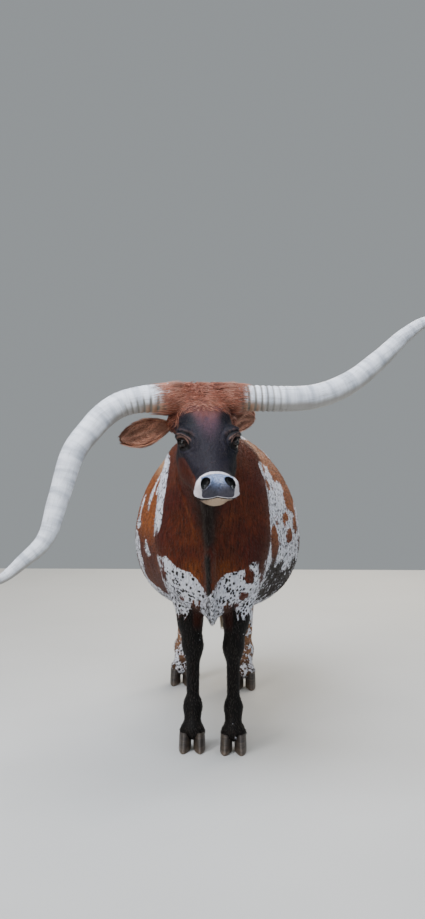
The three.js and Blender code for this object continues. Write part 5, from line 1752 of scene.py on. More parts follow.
@dataclass
class Surface:
    """Points and faces in working millimetres, with values and a map for each point."""

    points: Array
    faces: Array
    values: dict[str, Array] = field(default_factory=dict)
    patch: Array | None = None

    def piece(self, name: str, material: Material, slot: str, *nodes: str) -> bpy.types.Object:
        """Puts the surface into a Blender mesh.

        Args:
            name: the piece's name.
            material: its finish.
            slot: the name of a material slot; not used.
            nodes: solids that the piece stands for.

        Returns:
            The piece, riding on the animal.
        """
        mesh = bpy.data.meshes.new(name)
        count, sides = self.faces.shape
        mesh.vertices.add(len(self.points))
        mesh.vertices.foreach_set("co", to_scene(self.points).astype(np.float32).ravel())
        mesh.loops.add(count * sides)
        mesh.loops.foreach_set("vertex_index", self.faces.astype(np.int32).ravel())
        mesh.polygons.add(count)
        mesh.polygons.foreach_set("loop_start", np.arange(0, count * sides, sides, dtype=np.int32))
        mesh.update(calc_edges=True)
        mesh.polygons.foreach_set("use_smooth", np.ones(count, bool))
        for key, value in self.values.items():
            kind, target = ("FLOAT", "value") if value.ndim == 1 else ("FLOAT_VECTOR", "vector")
            layer = mesh.attributes.new(key, kind, "POINT")
            layer.data.foreach_set(target, value.astype(np.float32).ravel())
        if self.patch is not None:
            layer = mesh.uv_layers.new(name="OFBake")
            layer.uv.foreach_set("vector", self.patch[self.faces.ravel()].astype(np.float32).ravel())
        mesh.materials.append(material)
        item = bpy.data.objects.new(name, mesh)
        bpy.context.scene.collection.objects.link(item)
        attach(item, "root")
        if nodes:
            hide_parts(*nodes)
        log.info("%s: %d triangles", name, count * (sides - 2))
        return item


def joined(surfaces: list[Surface]) -> Surface:
    """Puts several surfaces with the same values into one.

    Args:
        surfaces: the surfaces.

    Returns:
        All of them as one surface.
    """
    start = np.cumsum([0] + [len(s.points) for s in surfaces[:-1]])
    values = {k: np.concatenate([s.values[k] for s in surfaces]) for k in surfaces[0].values}
    patch = None if surfaces[0].patch is None else np.concatenate([s.patch for s in surfaces])
    faces = np.concatenate([s.faces + n for s, n in zip(surfaces, start)])
    return Surface(np.concatenate([s.points for s in surfaces]), faces, values, patch)


def tube_faces(rings: int, around: int) -> Array:
    """Quads of a tube whose rings lie one after another, facing out if they turn anticlockwise
    seen from ahead.

    Args:
        rings: how many rings.
        around: how many points a ring has.

    Returns:
        Point numbers, four a row.
    """
    ring, k = np.meshgrid(np.arange(rings - 1), np.arange(around), indexing="ij")
    after = (k + 1) % around
    quad = [ring * around + k, ring * around + after, (ring + 1) * around + after, (ring + 1) * around + k]
    return np.stack(quad, -1).reshape(-1, 4)


def closed_tube(rings: Array) -> tuple[Array, Array]:
    """Closes both ends of a tube on the middles of its first and last rings.

    Args:
        rings: points as rings, around and coordinates.

    Returns:
        Points as rows and triangles.
    """
    count, around = rings.shape[:2]
    quads = tube_faces(count, around)
    faces = np.concatenate([quads[:, [0, 1, 2]], quads[:, [0, 2, 3]]])
    points = np.concatenate([rings.reshape(-1, 3), rings[0].mean(0)[None], rings[-1].mean(0)[None]])
    first, last = count * around, count * around + 1
    k = np.arange(around)
    after = (k + 1) % around
    start = np.stack([np.full(around, first), after, k], 1)
    base = (count - 1) * around
    end = np.stack([np.full(around, last), base + k, base + after], 1)
    return points, np.concatenate([faces, start, end])


class Chart(Enum):
    """Unwraps of the skin: each rolls one part of the body flat round its own axis."""

    TRUNK = "trunk"
    FRONT = "front"
    HEAD = "head"
    LEGS = "legs"
    TAIL = "tail"

    def place(self, p: Array) -> Array:
        """Angle round the part's axis and distance along it, both from 0 to 1.

        Args:
            p: points on the skin, in working millimetres.

        Returns:
            Two coordinates a point.
        """
        if self is Chart.HEAD:
            q = HEAD.local(p)
            turn, way = np.arctan2(q[:, 0], q[:, 1] + 50), (q[:, 2] + 160) / 700
        elif self is Chart.FRONT:
            q = NECK.local(p)
            turn, way = np.arctan2(q[:, 0], q[:, 1]), (q[:, 2] + 500) / 1300
        elif self is Chart.LEGS:
            fore, left = p[:, 1] < 600, p[:, 0] > 0
            middle = np.column_stack([np.where(left, 95, -95), np.where(fore, 0, 1180)])
            turn = np.arctan2(p[:, 0] - middle[:, 0], p[:, 1] - middle[:, 1])
            quarter = (fore * 2.0 + left) / 4
            return np.column_stack([quarter + (turn / TURN + 0.5) * 0.24, np.clip(p[:, 2] / 900, 0, 1)])
        elif self is Chart.TAIL:
            turn, way = np.arctan2(p[:, 0] - 6, p[:, 1] - 1330), p[:, 2] / 1300
        else:
            turn, way = np.arctan2(p[:, 0], p[:, 2] - 850), (p[:, 1] + 350) / 1750
        return np.column_stack([turn / TURN + 0.5, np.clip(way, 0, 1)])


@dataclass
class Blades:
    """Many flat, tapering locks: three-sided, closed at the root and pointed."""

    stations: int
    width: float
    thickness: float
    taper: float = 0.75
    patch: float = 0.003

    def build(self, lines: Array, out: Array, size: Array, chart: Chart) -> Surface:
        """Puts a blade round each line.

        The blade's half width is the width times one less t to the power of the taper, swollen a
        little past the root, with a ridge on the outer side.

        Args:
            lines: stations along each lock and its tip, as lock, station and coordinates.
            out: the way that each station's flat side faces.
            size: a factor on each lock's width.
            chart: the unwrap that carries the OFBake patches.

        Returns:
            The blades as one surface, with the value tip and an OFBake patch for each blade.
        """
        count, rows = len(lines), self.stations
        along = np.gradient(lines, axis=1)[:, :rows]
        across = unit(np.cross(along, out[:, :rows]))
        t = np.arange(rows) / rows
        grow = (1 - t) ** self.taper * (0.78 + 0.22 * np.sin(np.pi * np.minimum(t * 2.4, 1)))
        half = 0.5 * self.width * size[:, None] * grow
        high = self.thickness * size[:, None] * (1 - t) ** 0.5
        face = unit(out[:, :rows])
        left = lines[:, :rows] + across * half[..., None]
        right = lines[:, :rows] - across * half[..., None]
        ridge = lines[:, :rows] + face * high[..., None]
        body = np.stack([left, ridge, right], 2).reshape(count, rows * 3, 3)
        points = np.concatenate([body, lines[:, rows:rows + 1]], 1)
        per = rows * 3 + 1
        faces = []
        for r in range(rows - 1):
            for k in range(3):
                a, b = r * 3 + k, r * 3 + (k + 1) % 3
                faces += [(a, a + 3, b), (b, a + 3, b + 3)]
        last = (rows - 1) * 3
        faces += [(last + k, per - 1, last + (k + 1) % 3) for k in range(3)]
        faces.append((0, 1, 2))
        table = (np.arange(count)[:, None, None] * per + np.array(faces)[None]).reshape(-1, 3)
        share = np.concatenate([np.repeat(t, 3), [1.0]])
        root = chart.place(lines[:, 0])
        sideways = np.concatenate([np.tile([0.0, 0.5, 1.0], rows), [0.5]])
        patch = root[:, None, :] + self.patch * np.stack(
            [np.broadcast_to(sideways, (count, per)), np.broadcast_to(share, (count, per))], -1)
        return Surface(
            points.reshape(-1, 3), table,
            {"tip": np.tile(share, count)}, np.clip(patch.reshape(-1, 2), 0, 1),
        )

    def per_lock(self) -> int:
        """Returns how many points one lock has."""
        return self.stations * 3 + 1


def outward(points: Array, faces: Array) -> Array:
    """Turns all faces over if the volume that they close comes out below zero.

    Args:
        points: the points.
        faces: triangles or quads of a closed surface.

    Returns:
        The faces, looking out.
    """
    a, b, c = (points[faces[:, k]] for k in range(3))
    volume = np.einsum("ij,ij->i", a, np.cross(b, c)).sum()
    if faces.shape[1] == 4:
        volume += np.einsum("ij,ij->i", a, np.cross(c, points[faces[:, 3]])).sum()
    return faces if volume > 0 else faces[:, ::-1]


@dataclass
class Hide:
    """The one skin over all the flesh, and places on it for hair to grow from."""

    mesher: SkinMesher = field(default_factory=SkinMesher)
    nodes: tuple[str, ...] = ("torso", "neck", "head", "dewlap", "udder", "tail")

    def build(self, material: Material) -> None:
        """Meshes the skin, marks it and keeps what the coat needs.

        Args:
            material: the coat's finish.
        """
        self.points, faces = self.mesher.mesh(FLESH)
        self.faces = outward(self.points, faces)
        self.normals = unit(FLESH.slope(self.points))
        values = MARKINGS.values(self.points)
        values["tip"] = np.zeros(len(self.points))
        legs = [f"{pair}leg_{side}_{part}" for pair in ("fore", "hind") for side in SIDES
                for part in ("upper", "lower", "pastern")]
        Surface(self.points, self.faces, values).piece("skin", material, "coat", *self.nodes, *legs)
        corner = self.points[self.faces]
        self.middle = corner.mean(1)
        double = np.cross(corner[:, 2] - corner[:, 0], corner[:, 3] - corner[:, 1])
        self.area = 0.5 * np.linalg.norm(double, axis=1)

    def roots(self, weight: Array, count: int, rng: np.random.Generator) -> tuple[Array, Array]:
        """Draws places on the skin.

        Args:
            weight: how thick the hair grows on each face, times which the area counts.
            count: how many places.
            rng: the seeded source of chance.

        Returns:
            Places and the skin's normals there.
        """
        share = np.cumsum(weight * self.area)
        face = np.searchsorted(share, rng.random(count) * share[-1])
        quad = self.faces[np.minimum(face, len(self.faces) - 1)]
        u, v = rng.random((2, count, 1))
        blend = [(1 - u) * (1 - v), u * (1 - v), u * v, (1 - u) * v]
        place = sum(w * self.points[quad[:, k]] for k, w in enumerate(blend))
        normal = sum(w * self.normals[quad[:, k]] for k, w in enumerate(blend))
        return place, unit(normal)


class Area(Enum):
    """Parts of the coat that are pieces of their own."""

    LEFT_SIDE = "coat_left_side"
    RIGHT_SIDE = "coat_right_side"
    FRONT = "coat_front"
    LEGS = "coat_legs"
    HEAD = "coat_head"


@dataclass(frozen=True)
class TuftSize:
    """Tufts of one part of the coat, in millimetres; the lift is how far the tip stands off."""

    count: int
    length: float
    width: float
    lift: float
    chart: Chart
    slot: str


@dataclass
class Coat:
    """Short flat tufts over the skin, thickest where the coat breaks the outline."""

    hide: Hide
    seed: int = 41
    sizes: dict[Area, TuftSize] = field(default_factory=lambda: {
        Area.LEFT_SIDE: TuftSize(15000, 19, 3.0, 3.6, Chart.TRUNK, "coat"),
        Area.RIGHT_SIDE: TuftSize(15000, 19, 3.0, 3.6, Chart.TRUNK, "coat"),
        Area.FRONT: TuftSize(18500, 16, 2.6, 3.4, Chart.FRONT, "coat"),
        Area.LEGS: TuftSize(17000, 12, 2.2, 2.6, Chart.LEGS, "dark_coat"),
        Area.HEAD: TuftSize(18500, 8.0, 1.5, 1.5, Chart.HEAD, "face_coat"),
    })

    def weights(self) -> dict[Area, Array]:
        """How thick each part's tufts grow on each face of the skin.

        Returns:
            A weight for each face, under each part.
        """
        p = self.hide.middle
        x, y, z = p.T
        q = HEAD.local(p)
        near = near_head(p)
        skull = np.full(len(p), FAR)
        skull[near] = FLESH.bare_head(p[near])
        head = (skull < 12) & (q[:, 1] > -185)
        marks = MARKINGS.values(p)
        bare = (marks["nose"] > 0.4) | (marks["bare"] > 0.4) | (marks["ring"] > 0.6)
        hairy = ~bare & (self.hide.area > 0)
        legs = (z < 560) & (np.abs(x) > 20) & ~head & (FLESH.UDDER(p) > 20)
        front = (y < 60) & ~legs & ~head
        side = ~front & ~legs & ~head
        edge = 1 + 1.6 * ramp(1180, 1240, z) + 2.0 * ramp(560, 480, z) + 1.2 * ramp(1120, 1220, y)
        fold = 1 + 1.8 * ramp(60, 20, np.abs(x)) * ramp(900, 700, z) + 0.8 * ramp(1100, 1250, z)
        back = 1 + 1.3 * ramp(-10, 30, y - np.where(y < 600, 0, 1180)) + 1.5 * ramp(150, 90, z)
        cheek = 1 + 1.2 * ramp(-60, -110, q[:, 1]) + 0.6 * ramp(-20, -50, q[:, 2])
        thick = {
            Area.LEFT_SIDE: side * (x >= 0) * edge, Area.RIGHT_SIDE: side * (x < 0) * edge,
            Area.FRONT: front * fold, Area.LEGS: legs * back, Area.HEAD: head * cheek,
        }
        return {area: weight * hairy for area, weight in thick.items()}

    def build(self, material: Material) -> None:
        """Grows every part's tufts.

        Args:
            material: the coat's finish, the same as the skin's.
        """
        rng = np.random.default_rng(self.seed)
        weights = self.weights()
        for area, size in self.sizes.items():
            root, normal = self.hide.roots(weights[area], size.count, rng)
            way = lie_of_coat(root) + rng.normal(0, 0.16, root.shape)
            way = unit(way - normal * (way * normal).sum(1, keepdims=True))
            length = size.length * rng.uniform(0.65, 1.3, (size.count, 1))
            lift = size.lift * rng.uniform(0.5, 1.25, (size.count, 1))
            bend = np.cross(normal, way) * rng.normal(0, 0.10, (size.count, 1))
            stations = [root - normal * 0.8, root + way * length * 0.5 + normal * (lift * 0.62),
                        root + (way + bend) * length + normal * lift * 0.95]
            lines = np.stack(stations, 1)
            blades = Blades(2, size.width, size.width * 0.32)
            scale = rng.uniform(0.7, 1.3, size.count)
            tufts = blades.build(lines, np.repeat(normal[:, None], 3, 1), scale, size.chart)
            per = blades.per_lock()
            for name, value in MARKINGS.values(root).items():
                tufts.values[name] = np.repeat(value, per)
            tufts.piece(area.value, material, size.slot)


HORN_LINES = {
    "right": ((-148, -437, 1439), (-258, -462, 1434), (-330, -478, 1415), (-388, -503, 1378),
              (-440, -540, 1320), (-490, -585, 1250), (-540, -655, 1082), (-581, -720, 945),
              (-656, -768, 870), (-732, -795, 812), (-864, -812, 776)),
    "left": ((92, -401, 1435), (148, -393, 1436), (250, -378, 1434), (355, -350, 1436),
             (452, -312, 1457), (546, -266, 1503), (646, -215, 1581), (743, -160, 1668),
             (828, -112, 1722), (981, -44, 1757)),
}


def smooth_line(points: Array, count: int) -> tuple[Array, float]:
    """A curve through points, spaced evenly along its length.

    Each stretch is a cubic whose slopes come from the neighbouring points, weighted by the root of
    the distances between them.

    Args:
        points: the points, as rows.
        count: how many places to return.

    Returns:
        Places along the curve, and its length.
    """
    p = np.concatenate([[2 * points[0] - points[1]], points, [2 * points[-1] - points[-2]]])
    gap = np.sqrt(np.linalg.norm(np.diff(p, axis=0), axis=1))
    before, here, after = gap[:-2, None], gap[1:-1, None], gap[2:, None]
    a, b, c, d = p[:-3], p[1:-2], p[2:-1], p[3:]
    first = ((b - a) / before - (c - a) / (before + here) + (c - b) / here) * here
    last = ((c - b) / here - (d - b) / (here + after) + (d - c) / after) * here
    u = np.linspace(0, 1, 60, endpoint=False)[None, :, None]
    b, c, first, last = (v[:, None] for v in (b, c, first, last))
    curve = (b * (2 * u ** 3 - 3 * u ** 2 + 1) + first * (u ** 3 - 2 * u ** 2 + u)
             + c * (3 * u ** 2 - 2 * u ** 3) + last * (u ** 3 - u ** 2))
    curve = np.concatenate([curve.reshape(-1, 3), points[-1:]])
    run = np.concatenate([[0], np.cumsum(np.linalg.norm(np.diff(curve, axis=0), axis=1))])
    at = np.linspace(0, run[-1], count)
    return np.stack([np.interp(at, run, curve[:, i]) for i in range(3)], 1), run[-1]


@dataclass
class Horn:
    """One horn: a long tapering sweep with growth ridges at its root."""

    side: str
    base_radius: float = 48
    tip_radius: float = 2.2
    taper: float = 2.4
    fullness: float = 0.8
    ridges: int = 9
    ridge_reach: float = 0.2
    ridge_height: float = 1.9
    flare_reach: float = 0.15
    flares: dict[str, float] = field(default_factory=lambda: {"right": 9.0, "left": 0.0})
    rings: int = 300
    around: int = 44

    def relief(self, t: Array, angle: Array, up: Array) -> tuple[Array, Array, Array]:
        """The radius round the horn's line.

        It is the base's times one less t to the taper, to the power of the fullness; a wave of t
        with one crest a ridge and a flare are added near the root, fine rings farther out, and
        slow dents everywhere. The upper side of a root that flares is worn smooth.

        Args:
            t: share of the way from root to tip, as a column.
            angle: angles round the horn, as a row.
            up: how far each place looks up, from -1 to 1.

        Returns:
            The plain cone's radius, the full radius, and from 0 to 1 how deep in a groove.
        """
        cone = np.clip(1 - t ** self.taper, 0, 1) ** self.fullness
        plain = np.maximum(self.base_radius * cone, self.tip_radius)
        flare = self.flares[self.side] * np.clip(1 - t / self.flare_reach, 0, 1) ** 1.5
        smooth_top = 1 - 0.75 * ramp(-0.2, 0.5, up) * (flare.max() > 0)
        phase = (t / self.ridge_reach * self.ridges * TURN + 0.7 * np.sin(angle + 1.1)
                 + 0.5 * np.sin(9 * t * TURN))
        wave = -np.cos(phase)
        crest = np.sign(wave) * np.abs(wave) ** 0.7 * smooth_top
        fade = np.sqrt(np.clip(1 - t / self.ridge_reach, 0, 1))
        far_fade = np.clip(1 - t / 0.75, 0, 1)
        rings = -np.cos(t * 62 * TURN + 0.8 * np.sin(2 * angle))
        dents = 0.5 * np.sin(5 * angle + 9 * t) * np.sin(23 * t + angle) + 0.35 * np.sin(11 * angle - 40 * t)
        bump = self.ridge_height * crest * fade + 0.35 * rings * far_fade + dents * np.minimum(plain / 30, 1)
        return plain, plain + flare + bump, np.clip(-crest * fade, 0, 1)

    def build(self, material: Material) -> None:
        """Sweeps a nearly round section along the horn's line.

        Args:
            material: the horn's finish.
        """
        line, length = smooth_line(np.array(HORN_LINES[self.side], float), self.rings)
        t = np.linspace(0, 1, self.rings)[:, None]
        angle = np.linspace(0, TURN, self.around, endpoint=False)[None]
        tangent = unit(np.gradient(line, axis=0))
        normal = unit(np.array([0, 1.0, 0]) - tangent * tangent[:, 1:2])
        side = np.cross(tangent, normal)
        out = np.cos(angle)[..., None] * normal[:, None] + np.sin(angle)[..., None] * side[:, None]
        plain, radius, groove = self.relief(t, angle, out[..., 2])
        points, faces = closed_tube(line[:, None] + radius[..., None] * out)
        flat = np.broadcast_to(plain, radius.shape)
        run = np.broadcast_to(t * length, radius.shape)
        grain = np.stack([flat * np.cos(angle), flat * np.sin(angle), run], -1)
        values = {
            "grain": np.concatenate([grain.reshape(-1, 3), [[0, 0, 0], [0, 0, length]]]) * MM,
            "along": np.concatenate([np.repeat(t[:, 0], self.around), [0, 1]]),
            "groove": np.concatenate([groove.ravel(), [0, 0]]),
            # under: how far each place faces down, for the horn's painted shade below
            "under": np.concatenate([ramp(0.25, -0.75, out[..., 2]).ravel(), [0, 0]]),
        }
        Surface(points, outward(points, faces), values).piece(
            f"horn_{self.side}_sheath", material, "horn", f"horn_{self.side}")


def horn_roots(p: Array) -> Array:
    """Distance to the thick root of either horn.

    Args:
        p: points as rows, in working millimetres.

    Returns:
        The field at each point, below zero inside.
    """
    near = []
    for line, radius in ((HORN_LINES["right"][:3], 54), (HORN_LINES["left"][:3], 49)):
        near += [Limb(line[0], line[1], radius, radius)(p), Limb(line[1], line[2], radius, radius - 1)(p)]
    return np.min(near, axis=0)


def hair_ground(p: Array) -> Array:
    """What the crown's hair lies on: the skin and the horns' roots, with a soft seam."""
    return soft_min(FLESH.skin(p), horn_roots(p), 18)


def comb(ground: Callable[[Array], Array], root: Array, way: Callable[[float], Array],
         length: Array, lift: Callable[[float], Array], stations: int) -> tuple[Array, Array]:
    """Lays hairs over a surface, step by step.

    Each step goes along the wanted way, less what points into or out of the surface, and is then
    set at the wanted height over it.

    Args:
        ground: the surface's field.
        root: where each hair starts.
        way: each hair's wanted way, given the share of the length.
        length: each hair's length.
        lift: each hair's height, given the share of the length.
        stations: steps in a hair.

    Returns:
        Stations of each hair with its tip, and the surface's normals there.
    """
    def normal(p: Array) -> Array:
        """Returns the way out of the surface."""
        return unit(np.stack([ground(p + a) - ground(p - a) for a in np.eye(3) * 1.5], 1))

    place = root
    n = normal(place)
    lines, outs = [place - n * 3.0], [n]
    for k in range(1, stations + 1):
        t = k / stations
        d = way(t)
        d = unit(d - n * (d * n).sum(1, keepdims=True))
        place = place + d * (length / stations)[:, None]
        n = normal(place)
        place = place + n * np.clip(lift(t) - ground(place), -14, 14)[:, None]
        lines.append(place)
        outs.append(n)
    return np.stack(lines, 1), np.stack(outs, 1)


@dataclass
class PollHair:
    """The crown of long wavy hair, parted near the middle and combed out over the horns' roots."""

    hide: Hide
    locks: int = 5800
    parting: float = -12
    length: tuple[float, float] = (50, 104)
    loft: float = 6.5
    wave: float = 46  # mm from crest to crest
    width: float = 3.1
    thickness: float = 1.1
    stations: int = 6
    seed: int = 7

    def roots(self, rng: np.random.Generator) -> Array:
        """Draws where the locks start, thickest at the parting and on the top.

        Args:
            rng: the seeded source of chance.

        Returns:
            Places on the skin.
        """
        q = HEAD.local(self.hide.middle)
        side, face, muzzle = q[:, 0], q[:, 1], q[:, 2]
        crown = (np.abs(side) < 116) & (face > -86) & (muzzle > -100) & (muzzle < 78)
        weight = crown * (0.2 + 1.2 * ramp(70, 10, muzzle))
        weight = weight * (1 + 1.4 * ramp(46, 6, np.abs(side - self.parting)))
        return self.hide.roots(weight, self.locks, rng)[0]

    def heights(self, q: Array, front: Array, rng: np.random.Generator) -> Array:
        """Draws how high the locks arch: flat on the forehead, with a swell each side of the top.

        Args:
            q: the roots in the head's axes.
            front: one on the forehead, zero off it.
            rng: the seeded source of chance.

        Returns:
            A share of the loft for each lock.
        """
        height = rng.uniform(0.1, 1.0, self.locks) * (1 - 0.85 * front)
        top = ramp(20, -30, q[:, 2])
        height *= 1 + 1.6 * (bell(q[:, 0], 42, 22) + bell(q[:, 0], -40, 16)) * top
        return height * (1 - 0.75 * ramp(-56, -74, q[:, 0]) * top)

    def build(self, material: Material) -> None:
        """Grows the hair.

        Args:
            material: the hair's finish.
        """
        rng = np.random.default_rng(self.seed)
        root = self.roots(rng)
        q = HEAD.local(root)
        outwards = np.tanh((q[:, 0] - self.parting + rng.normal(0, 24, self.locks)) / 20)
        front = ramp(-4, 64, q[:, 2]) * ramp(-10, 30, q[:, 1])
        back = ramp(-34, -70, q[:, 2]) + ramp(10, -50, q[:, 1])
        still = 1 - np.abs(outwards)
        start = np.column_stack([outwards, -0.45 * back, -0.05 + 0.30 * front + 0.2 * back - 0.5 * still])
        start = HEAD.turn(start + rng.normal(0, 0.09, start.shape))
        phase = 1.7 * np.sin(root[:, 0] / 33) + 1.3 * np.sin(root[:, 1] / 27 + root[:, 2] / 31)
        phase = phase + rng.normal(0, 0.35, self.locks)
        length = rng.uniform(*self.length, self.locks) * (1 - 0.72 * front) * (0.45 + 0.55 * np.abs(outwards))
        reach = 192 - np.abs(q[:, 0]) + 16 * (q[:, 0] < 0)
        length = np.minimum(length, np.maximum(reach, 26))
        height = self.heights(q, front, rng)

        def way(t: float) -> Array:
            """The start's way, swung to and fro, and drooping towards the tip.

            Args:
                t: share of the length.

            Returns:
                A direction for each lock.
            """
            swing = 0.34 * np.sin(phase + TURN * t * length / self.wave)
            lateral = np.cross(start, HEAD.rows[1])
            return start + lateral * swing[:, None] + np.array([0, -0.05, -0.22 * t])

        def lift(t: float) -> Array:
            """Returns a low arch from root to tip."""
            return 1.2 + self.loft * height * math.sin(math.pi * min(0.12 + 0.76 * t, 1))

        lines, outs = comb(hair_ground, root, way, length, lift, self.stations)
        blades = Blades(self.stations, self.width, self.thickness, taper=0.6)
        hair = blades.build(lines, outs, rng.uniform(0.6, 1.35, self.locks), Chart.HEAD)
        hair.values["tone"] = np.repeat(rng.random(self.locks), blades.per_lock())
        hair.piece("poll_hair", material, "poll_hair", "poll")


@dataclass
class TailSwitch:
    """The brush of long straight hair at the end of the tail."""

    strands: int = 1500
    top: float = 640
    low: float = 222
    centre: tuple[float, float] = (12.0, 1346.0)
    width: float = 3.2
    thickness: float = 1.1
    stations: int = 7
    seed: int = 19

    def build(self, material: Material) -> None:
        """Hangs strands from the tail's last stretch, swelling below it and gathering at the tip.

        Args:
            material: the hair's finish.
        """
        rng = np.random.default_rng(self.seed)
        turn = rng.uniform(0, TURN, self.strands)
        top = rng.uniform(430, self.top, self.strands)
        lowest = self.low + 210 * rng.random(self.strands) ** 1.7
        end = np.maximum(top - rng.uniform(190, 400, self.strands), lowest)
        way = np.column_stack([np.cos(turn), np.sin(turn)])
        swell = rng.uniform(8, 27, self.strands)
        rows = self.stations + 1
        t = np.linspace(0, 1, rows)[None]
        curl = 3.0 * np.sin(5 * t + turn[:, None] * 2)
        height = top[:, None] + (end - top)[:, None] * t
        narrow = 0.25 + 0.75 * ramp(self.low - 20, 420, height)
        far = 5 + (swell[:, None] * np.sin(np.pi * (0.08 + 0.8 * t)) ** 0.8 + curl * t) * narrow
        sway = np.stack([4 * np.sin(height / 47), 5 * np.sin(height / 61 + 1)], -1)
        level = np.array(self.centre) + sway + way[:, None] * far[..., None]
        lines = np.concatenate([level, height[..., None]], 2)
        outs = np.concatenate([np.repeat(way[:, None], rows, 1), np.zeros((self.strands, rows, 1))], 2)
        blades = Blades(self.stations, self.width, self.thickness, taper=0.5)
        hair = blades.build(lines, outs, rng.uniform(0.6, 1.4, self.strands), Chart.TAIL)
        hair.values["tone"] = np.repeat(rng.random(self.strands), blades.per_lock())
        hair.piece("switch_hair", material, "switch_hair", "tail_switch")


class EarPlace(Enum):
    """Where an ear's hair grows."""

    BACK = "back"
    RIM = "rim"
    CUP = "cup"


@dataclass(frozen=True)
class EarHair:
    """Hair of one place: sizes in millimetres, its lift as a share of the length, and its patch."""

    place: EarPlace
    count: int
    length: float
    width: float
    lift: float
    patch: float


